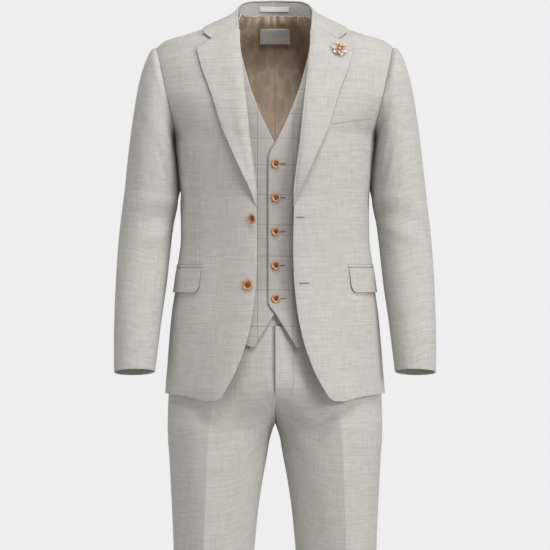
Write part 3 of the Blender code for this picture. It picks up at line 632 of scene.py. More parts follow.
class Bench:
    """One material and short ways to lay out its shader nodes."""

    def __init__(self, name: str, roughness: float, specular: float = 0.5) -> None:
        """Starts a material.

        Args:
            name: Name of the material.
            roughness: Roughness all over, unless a node changes it later.
            specular: Specular level all over.
        """
        self.material = bpy.data.materials.new(name)
        self.material.use_nodes = True
        self.tree = self.material.node_tree
        self.shader = self.tree.nodes["Principled BSDF"]
        self.shader.inputs["Roughness"].default_value = roughness
        self.shader.inputs["Specular IOR Level"].default_value = specular

    def join(self, value: Value | Colour, socket: Socket) -> None:
        """Links a socket to another, or sets it to a number or colour."""
        if isinstance(value, bpy.types.NodeSocket):
            self.tree.links.new(value, socket)
        else:
            socket.default_value = value

    def uv(self, layer: str) -> Socket:
        """The piece's own map of that name."""
        node = self.tree.nodes.new("ShaderNodeUVMap")
        node.uv_map = layer
        return node.outputs["UV"]

    def place(self) -> Socket:
        """Place on the piece itself, in metres."""
        return self.tree.nodes.new("ShaderNodeTexCoord").outputs["Object"]

    def scaled(self, vector: Socket, x: float, y: float, z: float = 1.0,
               turn: float = 0.0) -> Socket:
        """Vector scaled along its axes and turned about the third, in degrees."""
        node = self.tree.nodes.new("ShaderNodeMapping")
        node.inputs["Scale"].default_value = (x, y, z)
        node.inputs["Rotation"].default_value = (0, 0, math.radians(turn))
        self.join(vector, node.inputs["Vector"])
        return node.outputs["Vector"]

    def noise(self, vector: Socket, detail: float = 2.0, distortion: float = 0.0) -> Socket:
        """Cloudy value around a half, one cloud to each unit of the vector."""
        node = self.tree.nodes.new("ShaderNodeTexNoise")
        node.inputs["Scale"].default_value = 1.0
        node.inputs["Detail"].default_value = detail
        node.inputs["Distortion"].default_value = distortion
        self.join(vector, node.inputs["Vector"])
        return node.outputs["Fac"]

    def cells(self, vector: Socket) -> Socket:
        """Distance to the middle of the nearest cell, one cell to each unit of the vector."""
        node = self.tree.nodes.new("ShaderNodeTexVoronoi")
        node.feature = "F1"
        node.inputs["Scale"].default_value = 1.0
        self.join(vector, node.inputs["Vector"])
        return node.outputs["Distance"]

    def parts(self, vector: Socket) -> tuple[Socket, Socket, Socket]:
        """The vector's three numbers."""
        node = self.tree.nodes.new("ShaderNodeSeparateXYZ")
        self.join(vector, node.inputs["Vector"])
        return node.outputs["X"], node.outputs["Y"], node.outputs["Z"]

    def maths(self, operation: str, first: Value, second: Value = 0.0) -> Socket:
        """One step of arithmetic."""
        node = self.tree.nodes.new("ShaderNodeMath")
        node.operation = operation
        self.join(first, node.inputs[0])
        self.join(second, node.inputs[1])
        return node.outputs[0]

    def times(self, value: Value, amount: Value) -> Socket:
        """Product of two values."""
        return self.maths("MULTIPLY", value, amount)

    def total(self, *values: Value) -> Socket:
        """Sum of some values, in order."""
        return reduce(lambda first, second: self.maths("ADD", first, second), values)

    def swing(self, value: Value, amount: float) -> Socket:
        """A value's distance from a half, times an amount."""
        return self.times(self.maths("SUBTRACT", value, 0.5), amount)

    def ranged(self, value: Value, low: float, high: float, to_low: float = 0.0,
               to_high: float = 1.0) -> Socket:
        """Value moved softly from one range to another and held inside it."""
        node = self.tree.nodes.new("ShaderNodeMapRange")
        node.interpolation_type = "SMOOTHSTEP"
        for name, number in (("From Min", low), ("From Max", high), ("To Min", to_low),
                             ("To Max", to_high)):
            node.inputs[name].default_value = number
        self.join(value, node.inputs["Value"])
        return node.outputs["Result"]

    def mix(self, share: Value, first: Colour | Socket, second: Colour | Socket) -> Socket:
        """Mix of two colours."""
        node = self.tree.nodes.new("ShaderNodeMix")
        node.data_type = "RGBA"
        self.join(share, node.inputs["Factor"])
        self.join(first, node.inputs[6])
        self.join(second, node.inputs[7])
        return node.outputs[2]

    def waves(self, value: Value, pitch: float) -> Socket:
        """Even ripple from 0 to 1 over a coordinate, one crest to each pitch."""
        wave = self.maths("SINE", self.times(value, 2 * math.pi / pitch))
        return self.times(self.total(wave, 1.0), 0.5)

    def bump(self, height: Socket, distance: float) -> None:
        """Fine relief from a height field.

        Args:
            height: Height from 0 to 1.
            distance: What a height of 1 stands for, in metres.
        """
        node = self.tree.nodes.new("ShaderNodeBump")
        node.inputs["Strength"].default_value = 1.0
        node.inputs["Distance"].default_value = distance
        self.join(height, node.inputs["Height"])
        self.join(node.outputs["Normal"], self.shader.inputs["Normal"])

    def sheen(self, weight: float, roughness: float = 0.5) -> None:
        """Soft light of fibres that stand off the cloth."""
        self.shader.inputs["Sheen Weight"].default_value = weight
        self.shader.inputs["Sheen Roughness"].default_value = roughness

    def coloured(self, colour: Colour | Socket) -> Material:
        """Sets the base colour and hands the material over."""
        self.join(colour, self.shader.inputs["Base Color"])
        return self.material


@dataclass(frozen=True)
class SlubLinen:
    """Pale grey linen-look suiting: plain weave with slubs both ways and a mix of tones."""

    name: str
    light: Colour = (0.505, 0.487, 0.466, 1)
    dark: Colour = (0.345, 0.330, 0.314, 1)
    thread_pitch: float = 0.0007
    checked: bool = False
    check_line: Colour = (0.20, 0.19, 0.18, 1)
    check_share: float = 0.011
    # Slubs to the metre across and up, their detail, and how far they move the tone: short weft
    # slubs, warp slubs, long weft slubs and clouds
    yarns: Rows = ((26, 640, 3.0, 1.05), (620, 20, 3.0, 1.0), (9, 330, 2.0, 0.75),
                   (60, 90, 3.0, 0.5))
    middle_tone: float = 0.56
    relief: float = 0.00016

    def slubs(self, bench: Bench, cloth: Socket) -> Socket:
        """Tone of the mixed yarns, from 0 for dark to 1 for light."""
        swings = [bench.swing(bench.noise(bench.scaled(cloth, across, up), detail), amount)
                  for across, up, detail, amount in self.yarns]
        return bench.total(*swings, self.middle_tone)

    def weave(self, bench: Bench, cloth: Socket) -> Socket:
        """Height of the crossing threads, from 0 to 1."""
        u, v, _ = bench.parts(cloth)
        over = bench.waves(u, self.thread_pitch)
        under = bench.waves(v, self.thread_pitch)
        return bench.maths("ABSOLUTE", bench.maths("SUBTRACT", over, under))

    def check(self, bench: Bench, colour: Socket) -> Socket:
        """Fine dark lines both ways, one to each unit of the check map."""
        u, v, _ = bench.parts(bench.uv("checks"))
        lines = []
        for place in (u, v):
            within = bench.maths("FRACT", bench.maths("ADD", place, 0.5))
            off = bench.maths("ABSOLUTE", bench.maths("SUBTRACT", within, 0.5))
            lines.append(bench.ranged(off, self.check_share * 1.6, self.check_share * 0.4))
        both = bench.maths("MAXIMUM", lines[0], lines[1])
        return bench.mix(bench.times(both, 0.72), colour, self.check_line)

    def material(self) -> Material:
        """Builds the finish.

        Returns:
            Its material.
        """
        bench = Bench(self.name, 0.92, 0.25)
        cloth = bench.uv("cloth")
        tone = self.slubs(bench, cloth)
        threads = self.weave(bench, cloth)
        share = bench.ranged(bench.total(tone, bench.times(threads, 0.12)), -0.1, 1.27)
        colour = bench.mix(share, self.dark, self.light)
        if self.checked:
            colour = self.check(bench, colour)
        bench.bump(bench.total(bench.times(threads, 0.35), tone), self.relief)
        bench.sheen(0.12, 0.55)
        return bench.coloured(colour)


@dataclass(frozen=True)
class LeafSatin:
    """Tan satin with a soft tonal leaf motif and a fine upright grain."""

    name: str
    light: Colour = (0.72, 0.585, 0.455, 1)
    dark: Colour = (0.46, 0.36, 0.265, 1)
    leaf_length: float = 0.030
    patterned: bool = True
    relief: float = 0.00004

    def leaves(self, bench: Bench, cloth: Socket) -> Socket:
        """Tone of the motif: soft leaf-shaped blots that lie two ways, with faint veins."""
        upright = 1 / self.leaf_length
        blots = []
        for turn, widen in ((34, 1.9), (-52, 1.6)):
            drawn = bench.scaled(cloth, widen * upright, upright, turn=turn)
            blots.append(bench.ranged(bench.cells(drawn), 0.62, 0.30))
        leaf = bench.maths("MAXIMUM", blots[0], bench.times(blots[1], 0.7))
        veins = bench.waves(bench.parts(bench.scaled(cloth, 900, 500, turn=34))[0], 2.1)
        inside = bench.times(leaf, bench.times(veins, 0.12))
        cloudy = bench.noise(bench.scaled(cloth, 30, 22), detail=2.0, distortion=0.6)
        tone = bench.maths("SUBTRACT", 0.62, bench.times(leaf, 0.34))
        return bench.total(tone, inside, bench.swing(cloudy, 0.7))

    def material(self) -> Material:
        """Builds the finish.

        Returns:
            Its material.
        """
        bench = Bench(self.name, 0.42, 0.5)
        cloth = bench.uv("cloth")
        grain = bench.noise(bench.scaled(cloth, 2600, 60), detail=2.0)
        if self.patterned:
            tone = self.leaves(bench, cloth)
        else:
            tone = bench.noise(bench.scaled(cloth, 25, 18), detail=2.0)
        colour = bench.mix(bench.ranged(tone, 0.15, 0.95), self.dark, self.light)
        bench.bump(grain, self.relief)
        bench.sheen(0.18, 0.35)
        return bench.coloured(colour)


@dataclass(frozen=True)
class RibbedCloth:
    """Grey undercollar cloth with fine ribs along it."""

    name: str
    light: Colour = (0.40, 0.39, 0.37, 1)
    dark: Colour = (0.27, 0.262, 0.25, 1)
    pitch: float = 0.0026
    relief: float = 0.00022

    def material(self) -> Material:
        """Builds the finish.

        Returns:
            Its material.
        """
        bench = Bench(self.name, 0.9, 0.25)
        cloth = bench.uv("cloth")
        ribs = bench.waves(bench.parts(cloth)[1], self.pitch)
        fuzz = bench.noise(bench.scaled(cloth, 500, 900), detail=3.0)
        tone = bench.total(bench.times(ribs, 0.5), bench.times(fuzz, 0.6))
        bench.bump(tone, self.relief)
        bench.sheen(0.15)
        return bench.coloured(bench.mix(bench.ranged(tone, 0.1, 1.0), self.dark, self.light))


@dataclass(frozen=True)
class PolishedHorn:
    """Warm brown button horn, clouded, with a thin clear polish."""

    name: str
    light: Colour = (0.60, 0.31, 0.15, 1)
    dark: Colour = (0.33, 0.13, 0.052, 1)
    polish: float = 0.35
    polish_roughness: float = 0.15

    def material(self) -> Material:
        """Builds the finish.

        Returns:
            Its material.
        """
        bench = Bench(self.name, 0.34, 0.5)
        place = bench.place()
        clouds = bench.noise(bench.scaled(place, 230, 60, 160), detail=3.0, distortion=1.2)
        grain = bench.noise(bench.scaled(place, 1500, 180, 900), detail=2.0)
        tone = bench.total(clouds, bench.times(grain, 0.25))
        bench.shader.inputs["Coat Weight"].default_value = self.polish
        bench.shader.inputs["Coat Roughness"].default_value = self.polish_roughness
        bench.join(bench.ranged(clouds, 0.3, 0.7, 0.28, 0.42), bench.shader.inputs["Roughness"])
        return bench.coloured(bench.mix(bench.ranged(tone, 0.40, 0.85), self.dark, self.light))


@dataclass(frozen=True)
class WovenTape:
    """Narrow woven tape, label or thread: close ribs across a plain colour."""

    name: str
    colour: Colour
    shade: Colour
    pitch: float = 0.0009
    roughness: float = 0.75
    mapped: bool = True
    relief: float = 0.00008

    def material(self) -> Material:
        """Builds the finish.

        Returns:
            Its material.
        """
        bench = Bench(self.name, self.roughness, 0.3)
        place = bench.uv("cloth") if self.mapped else bench.place()
        u, v, _ = bench.parts(place)
        ribs = bench.times(bench.waves(u, self.pitch), bench.waves(v, self.pitch))
        fuzz = bench.noise(bench.scaled(place, 700, 700, 700), detail=3.0)
        tone = bench.total(bench.times(ribs, 0.4), bench.times(fuzz, 0.6))
        bench.bump(tone, self.relief)
        bench.sheen(0.1)
        return bench.coloured(bench.mix(bench.ranged(tone, 0.1, 0.8), self.shade, self.colour))


@dataclass(frozen=True)
class PetalCloth:
    """Fine petal cloth whose colour runs from a dark heart to a pale edge: partly the flower's own
    brown, partly painted shade of its cupped middle.
    """

    name: str
    heart: Colour
    edge: Colour
    relief: float = 0.00006

    def material(self) -> Material:
        """Builds the finish.

        Returns:
            Its material.
        """
        bench = Bench(self.name, 0.7, 0.3)
        cloth = bench.uv("cloth")
        _, outward, _ = bench.parts(cloth)
        fibres = bench.noise(bench.scaled(cloth, 1800, 160), detail=3.0)
        share = bench.total(bench.ranged(outward, 0.001, 0.011), bench.swing(fibres, 0.5))
        bench.bump(fibres, self.relief)
        bench.sheen(0.25)
        return bench.coloured(bench.mix(share, self.heart, self.edge))


class Finishes:
    """Every material of the suit, made once."""

    def __init__(self) -> None:
        """Builds the materials."""
        self.linen = SlubLinen("suit_linen").material()
        # Waistcoat cloth: its check lines are its own, but its ground is set darker than the suit linen
        # as painted shade of the waistcoat lying under the open jacket
        self.shaded_checked_linen = SlubLinen("shaded_checked_linen", light=(0.455, 0.438, 0.419, 1),
                                       dark=(0.335, 0.321, 0.305, 1), checked=True).material()
        self.satin = LeafSatin("leaf_satin").material()
        self.plain_satin = LeafSatin("plain_satin", patterned=False).material()
        self.stand_cloth = RibbedCloth("undercollar_cloth").material()
        self.horn = PolishedHorn("button_horn").material()
        self.dark_horn = PolishedHorn("dark_button_horn", light=(0.29, 0.105, 0.038, 1),
                                      dark=(0.12, 0.038, 0.014, 1)).material()
        self.tape = WovenTape("hanger_tape", (0.60, 0.585, 0.56, 1), (0.46, 0.45, 0.43, 1)).material()
        self.label = WovenTape("label_weave", (0.86, 0.855, 0.85, 1), (0.72, 0.715, 0.71, 1),
                               roughness=0.5).material()
        self.thread = WovenTape("brown_thread", (0.20, 0.09, 0.045, 1), (0.11, 0.05, 0.03, 1),
                                pitch=0.0003, mapped=False).material()
        self.grey_thread = WovenTape("grey_thread", (0.34, 0.325, 0.305, 1), (0.24, 0.23, 0.215, 1),
                                     pitch=0.0003, mapped=False).material()
        # Flat dark sheet in each buttonhole slit: painted shade of the opening
        self.slit = WovenTape("slit_shade", (0.11, 0.105, 0.10, 1), (0.08, 0.076, 0.07, 1),
                              mapped=False).material()
        # Petals darken toward the heart, the inner round and the heart most: partly the flower's own
        # brown, partly painted shade of its cupped middle
        self.petal = PetalCloth("petal_cloth", (0.42, 0.22, 0.12, 1), (0.84, 0.70, 0.57, 1)).material()
        self.inner_petal = PetalCloth("inner_petal_cloth", (0.17, 0.08, 0.04, 1),
                                      (0.80, 0.57, 0.42, 1)).material()


# Rings of the jacket: height, half width, front depth, back depth
JACKET_RINGS = (
    (12, 68, 28, 72), (-6, 84, 33, 78), (-10, 93, 38, 82), (-19, 120, 48, 87),
    (-28, 148, 57, 92), (-38, 178, 66, 97), (-47, 210, 74, 101), (-62, 229.5, 84, 107),
    (-101, 245.6, 103, 118), (-153, 241, 120, 123), (-183, 223, 127, 122),
    (-218, 202.5, 131, 117), (-232, 196, 131.5, 115), (-261, 193.5, 131.5, 111),
    (-281, 190.6, 131, 108), (-330, 186.7, 128, 102), (-359, 183.4, 126, 98),
    (-433, 183.6, 122, 96), (-487, 190, 120, 101), (-532, 194, 120, 108),
    (-577, 201, 121, 114), (-632, 206.5, 122, 119), (-682, 210, 124, 123),
    (-734, 214, 125, 126), (-765, 215, 125, 126),
)
JACKET = Form(JACKET_RINGS)

# Edge of the jacket front as seen: x, height (roll line above the break, cut edge below)
JACKET_EDGE = (
    (72.6, 14), (72.4, 1), (71, -45), (66.5, -97), (62.6, -134), (56.5, -188), (50, -245),
    (43.5, -291), (39, -328), (36, -365), (34, -456), (36, -513), (41.3, -571), (51, -625),
    (65, -672), (81.6, -711), (93, -731),
)
EDGE_LINE = by_height(true_line(JACKET_EDGE, JACKET))

# The open fronts stand off the body along their edge
OPEN_STAND = 12.0
HEM_STAND = 7.0
OPEN_REACH = 85.0
OPEN_HEIGHTS = (-120.0, -300.0)
HEM_HEIGHTS = (-480.0, -680.0)


def open_lift(x: Number, height: Number) -> np.ndarray:
    """How far the open front stands off at some places.

    Args:
        x: Distance from the centre front.
        height: Height of each place.

    Returns:
        Lift in millimetres, greatest along the edge below the chest.
    """
    from_edge = np.subtract(np.abs(x), EDGE_LINE.first(height))
    near = 1 - smooth_step(0, OPEN_REACH, from_edge)
    high, low = OPEN_HEIGHTS
    start, end = HEM_HEIGHTS
    hem = HEM_STAND * (1 - smooth_step(end, start, height))
    return (OPEN_STAND * (1 - smooth_step(low, high, height)) + hem) * near


@dataclass(frozen=True)
class Armhole:
    """Seam line in which a sleeve is set, numbered in steps from the shoulder forward and round."""

    seam: Line = ((-62, 229.5), (-101, 221), (-153, 210), (-183, 203), (-218, 196), (-232, 196))
    steps: int = 20
    top: float = -62.0
    low: float = -232.0

    def height(self, step: Number) -> np.ndarray:
        """Heights of some steps."""
        turned = np.cos(2 * np.pi * np.asarray(step, float) / self.steps)
        return (self.top + self.low) / 2 + (self.top - self.low) / 2 * turned

    def turn(self, step: Number) -> np.ndarray:
        """Turns of the jacket form at some steps."""
        step = np.asarray(step, float) % self.steps
        height = self.height(step)
        x = np.minimum(Profile(self.seam).first(height), JACKET.profile.first(height))
        turn = JACKET.turn_of(x, height)
        return np.where(step > self.steps / 2, 180 - turn, turn)

    def points(self, step: Number) -> Points:
        """Points of the seam at some steps."""
        return JACKET.at(self.turn(step), self.height(step))


ARMHOLE = Armhole()


class Side(Enum):
    """Side of the suit, as its wearer names it."""

    LEFT = "left"
    RIGHT = "right"

    def placed(self, points: Points) -> Points:
        """A left-hand grid brought to this side."""
        return points if self is Side.LEFT else mirrored(points)


@dataclass
class JacketBody:
    """Fronts, side panels and backs of the jacket."""

    finishes: Finishes
    shoulder_levels: tuple[float, ...] = (-6, -11, -18, -27, -37, -48, -56)
    body_levels: tuple[float, ...] = (-232, -256, -290, -330, -375, -425, -480, -530, -575)
    hem_shares: tuple[float, ...] = (0.27, 0.52, 0.74, 0.9, 1.0)
    front_hem: Line = ((93, -731), (103, -744), (120, -751), (140, -751), (174, -745), (214, -735))
    side_hem: float = -735.0
    back_hem: float = -738.0
    side_seam_step: int = 8
    settle_rows: int = 6
    front_seam_turn: float = 75.0
    back_seam_turn: float = 110.0
    underarm_fades: tuple[float, ...] = (1.0, 0.55, 0.25, 0.08, 0.0)
    neck_rise: float = 14.0
    row_step: float = 6.5
    dart_x: float = 149.0
    dart_heights: Span = (-487.0, -247.0)
    dart_share: float = 0.72
    dart_depth: float = 0.8
    dart_width: float = 0.8
    dart_swell: float = 0.7
    dart_swell_width: float = 14.0
    dart_range: Span = (0.55, 0.88)
    front_width: float = 150.0
    folds: dict[Side, Folds] = field(default_factory=lambda: {
        Side.LEFT: fold_rows(
            (205, -205, 235, -330, 12, -1.6, 6), (232, -262, 205, -420, 15, 1.2),
            (262, -300, 300, -395, 13, -1.8), (255, -345, 330, -380, 12, 1.6),
            (150, -545, 215, -690, 20, 1.0), (238, -480, 262, -640, 18, -1.4),
            (380, -330, 530, -375, 17, -2.4, 6), (360, -372, 500, -392, 14, 1.8),
            (400, -95, 520, -70, 18, 1.8, -8), (330, -170, 380, -280, 20, 2.0),
            (95, -560, 120, -700, 22, 1.1), (420, -520, 440, -690, 26, 1.6)),
        Side.RIGHT: fold_rows(
            (208, -200, 230, -350, 13, -2.0, 7), (236, -255, 210, -400, 15, 1.5),
            (264, -310, 304, -385, 12, -2.0), (250, -352, 325, -396, 12, 1.4),
            (165, -540, 205, -700, 20, 1.3), (236, -470, 258, -660, 18, -1.6),
            (375, -345, 535, -360, 16, -2.0, -5), (365, -385, 510, -402, 15, 1.6),
            (395, -90, 515, -66, 18, 1.5, -7), (335, -180, 372, -290, 20, 1.8),
            (100, -570, 112, -705, 22, 1.2), (430, -540, 428, -700, 26, 1.4))})
    turn_length: float = 3.2

    def rows(self) -> np.ndarray:
        """Row numbers of a body panel."""
        heights = [self.level(float(row), self.back_hem) for row in range(self.row_count)]
        lengths = np.abs(np.diff(heights))
        return row_places(lengths, self.row_step, 2, lengths[-1])

    @property
    def row_count(self) -> int:
        """Number of whole rows from neck to hem."""
        return (len(self.shoulder_levels) + self.side_seam_step + 1 + len(self.body_levels)
                + len(self.hem_shares))

    @property
    def first_body_row(self) -> int:
        """Row just under the armhole."""
        return len(self.shoulder_levels) + self.side_seam_step + 1

    def level(self, row: Number, hem: Number) -> np.ndarray:
        """Height of a row over a given hem height.

        Args:
            row: Row numbers, whole or between.
            hem: Height of the hem below each place.

        Returns:
            Heights.
        """
        top = len(self.shoulder_levels)
        shoulder = np.interp(row, range(top + 1), [*self.shoulder_levels, ARMHOLE.top])
        armhole = ARMHOLE.height(np.clip(np.subtract(row, top), 0, self.side_seam_step))
        start = self.first_body_row - 1
        body_top = float(ARMHOLE.height(self.side_seam_step))
        body = np.interp(row, start + np.arange(len(self.body_levels) + 1),
                         [body_top, *self.body_levels])
        last = start + len(self.body_levels)
        share = np.interp(row, last + np.arange(len(self.hem_shares) + 1), [0, *self.hem_shares])
        upper = np.where(np.less(row, top), shoulder, np.where(np.less(row, start), armhole, body))
        return blend(upper, hem, share)

    def seam_turn(self, row: Number, behind: bool) -> np.ndarray:
        """Turn where the front or back panel ends at a row.

        Args:
            row: Row numbers.
            behind: True for the back panel.

        Returns:
            Turns: the shoulder seam, then the armhole, then the side seam.
        """
        top = len(self.shoulder_levels)
        step = np.clip(np.subtract(row, top), 0, self.side_seam_step)
        armhole = ARMHOLE.turn(ARMHOLE.steps - step if behind else step)
        low = self.back_seam_turn if behind else self.front_seam_turn
        share = np.clip(np.subtract(row, self.first_body_row - 1) / self.settle_rows, 0, 1)
        turn = blend(armhole, low, share)
        return np.where(np.less(row, top), 90.0, turn)

    def lift(self, turn: np.ndarray, height: np.ndarray, side: Side) -> np.ndarray:
        """How far folds and unevenness move the cloth at some places of the jacket."""
        at = JACKET.at(turn, height)
        if side is Side.RIGHT:
            at = at * np.array([-1, 1, 1])
        quiet = 1 - 0.75 * smooth_step(-75, -30, height)
        return folded(self.folds[side], turn * self.turn_length, height) + ease(at) * quiet

    def front(self, side: Side) -> Points:
        """Grid of a front panel, with its dart sewn in."""
        low_height = true_line(self.front_hem, JACKET)[0][1]
        hem = Profile(true_line(self.front_hem, JACKET))
        low_turn = float(JACKET.turn_of(EDGE_LINE.first(low_height), low_height))
        across = shares(44, self.front_width, marks=(self.dart_share,))
        row, share = np.meshgrid(self.rows(), across, indexing="ij")
        x_at_hem = JACKET.at(blend(low_turn, self.front_seam_turn, share), self.side_hem)[..., 0]
        height = self.level(row, hem.first(x_at_hem))
        edge_turn = JACKET.turn_of(EDGE_LINE.first(height), height)
        end_turn = self.seam_turn(row, False)
        dart_turn = JACKET.turn_of(self.dart_x * 0.98, height)
        dart_at = np.clip((dart_turn - edge_turn) / (end_turn - edge_turn), *self.dart_range)
        warped = np.where(share < self.dart_share, share / self.dart_share * dart_at,
                          1 - (1 - share) / (1 - self.dart_share) * (1 - dart_at))
        turn = blend(edge_turn, end_turn, warped)
        from_dart = (share - self.dart_share) * self.front_width
        low, high = self.dart_heights
        sewn = smooth_step(low - 12, low + 6, height) * (1 - smooth_step(high - 6, high + 14, height))
        groove = self.dart_depth * hump(from_dart, 0, self.dart_width) * sewn
        swell = self.dart_swell * hump(from_dart, 0, self.dart_swell_width) * sewn
        opened = open_lift(JACKET.at(turn, height)[..., 0], height)
        return JACKET.lifted(turn, height, self.lift(turn, height, side) + swell - groove + opened)

    def back(self, side: Side) -> Points:
        """Grid of a back panel."""
        row, share = np.meshgrid(self.rows(), shares(44, 170), indexing="ij")
        turn = blend(self.seam_turn(row, True), 180.0, share)
        hem = blend(self.side_hem, self.back_hem, share)
        top = len(self.shoulder_levels)
        rise = self.neck_rise * smooth_step(90, 120, turn) * (1 - smooth_step(0, 1, row / top))
        height = self.level(row, hem) + rise
        return JACKET.lifted(turn, height, self.lift(turn, height, side))

    def side(self, side: Side) -> Points:
        """Grid of the side panel under the arm."""
        start = self.first_body_row - 1
        rows = self.rows()
        row, share = np.meshgrid(rows[rows >= start], shares(26, 120), indexing="ij")
        fades = Profile(enumerate(self.underarm_fades)).first(row - start)
        step = blend(self.side_seam_step, ARMHOLE.steps - self.side_seam_step, share)
        even_turn = blend(self.seam_turn(row, False), self.seam_turn(row, True), share)
        turn = blend(even_turn, ARMHOLE.turn(step), fades)
        dip = float(ARMHOLE.height(self.side_seam_step)) - ARMHOLE.height(step)
        height = self.level(row, self.side_hem) - dip * fades
        return JACKET.lifted(turn, height, self.lift(turn, height, side))

    def make(self) -> None:
        """Builds the six body panels."""
        finish, inner = self.finishes.linen, self.finishes.plain_satin
        for side in Side:
            front = rolled(self.front(side), 1.2, 1.7, first_row=False, last_column=False)
            front = rolled(front, 0.4, 1.0, last_row=False, first_column=False)
            Cut(f"jacket_front_{side.value}", side.placed(front), finish, inner).make()
            flank = rolled(self.side(side), 0.6, 1.2)
            Cut(f"jacket_side_{side.value}", side.placed(flank), finish, inner).make()
            back = rolled(self.back(side), 0.6, 1.2)
            Cut(f"jacket_back_{side.value}", side.placed(back), finish, inner).make()


@dataclass
class Lapels:
    """Two notch lapels, rolled back from the front edges."""

    finishes: Finishes
    edge: Line = (
        (37.6, -366), (45.4, -339), (54.4, -317), (74, -274), (102.4, -211), (126, -145),
        (142, -103), (152.4, -64.5))
    roll_low: float = -368.0
    gorge_start: Span = (71, -28)
    gorge_gap: float = 0.45
    gorge_bow: float = 5.6
    gorge_fade: int = 12
    notch_share: float = 0.64
    lift_low: float = 0.3
    lift_top: float = 1.6
    lift_edge: float = 1.2
    roll_belly: float = 3.4
    edge_stand: float = 9.5
    foot_share: float = 0.07
    row_count: int = 84
    length: float = 350.0
    width: float = 80.0
    # Rolled edge, row by row: step sideways, lift of its own, share of the lapel's lift
    wrap: Rows = ((-2.9, -1.3, 0), (-3.2, 0.1, 0.22), (-2.9, 0, 0.6), (-1.8, 0, 0.9),
                  (-0.4, 0, 1.0))
    wrap_steps: int = 13

    def grid(self, side: Side) -> Points:
        """Grid of one lapel, from its gorge down to the break, roll line first."""
        seen = [(float(EDGE_LINE.first(self.roll_low)), self.roll_low)]
        seen += [point for point in JACKET_EDGE[::-1]
                 if self.gorge_start[1] >= point[1] >= self.roll_low]
        seen.append(self.gorge_start)
        down = 1 - shares(self.row_count, self.length)
        inner = self.along_path(true_line(seen, JACKET))(down)
        outer = self.along_path(true_line(self.edge, JACKET))(down)
        near_gorge = down ** self.gorge_fade
        foot = smooth_step(-0.02, self.foot_share, down)
        lift = (LAID_LIFT + self.lift_low) * foot + self.lift_top * down ** 3
        columns = []
        opened = open_lift(inner[:, 0], inner[:, 1])
        for place in np.linspace(0, len(self.wrap) - 1, self.wrap_steps):
            sideways, low, part = station_profile(self.wrap)(place)
            columns.append(JACKET.on(inner[:, 0] + sideways * foot, inner[:, 1],
                                     low * foot + part * lift + opened))
        belly = self.roll_belly if side is Side.LEFT else 1.25 * self.roll_belly
        for across in blend(0.035, 1, shares(30, self.width, first=False)):
            point = blend(inner, outer, across)
            past = max((across - self.notch_share) / (1 - self.notch_share), 0)
            bow = self.gorge_bow * (min(across / self.notch_share, 1) - past) - self.gorge_gap
            soft = belly * hump(across, 0.2, 0.26) * (1 - 0.5 * down) * smooth_step(0, 0.5, down)
            stand = self.edge_stand * across * smooth_step(-0.02, 0.2, down)
            stand = stand * (1 - smooth_step(0.15, 0.85, down))
            rise = lift + self.lift_edge * across + soft + stand
            rise = rise - 0.8 * hump(across, 0.0, 0.03) + open_lift(point[:, 0], point[:, 1])
            columns.append(JACKET.on(point[:, 0], point[:, 1] + bow * near_gorge, rise))
        return np.stack(columns, axis=1)

    @staticmethod
    def along_path(line: Table) -> Profile:
        """Smooth line through points, looked up by its share of the length."""
        points = np.array(line, dtype=float)
        steps = np.linalg.norm(np.diff(points, axis=0), axis=1)
        places = np.concatenate([[0.0], np.cumsum(steps)]) / steps.sum()
        return Profile([(place, *point) for place, point in zip(places, points)])

    def make(self) -> None:
        """Builds both lapels."""
        for side in Side:
            points = self.grid(side)
            points = points + facing(points) * (0.4 * ease(points, 0.5))[..., None]
            points = rolled(points, 0.9, 1.4, first_column=False)
            Cut(f"jacket_lapel_{side.value}", side.placed(points), self.finishes.linen,
                thickness=LAID_CLOTH, held="folded",
                rests_on=(f"jacket_front_{side.value}",)).make()


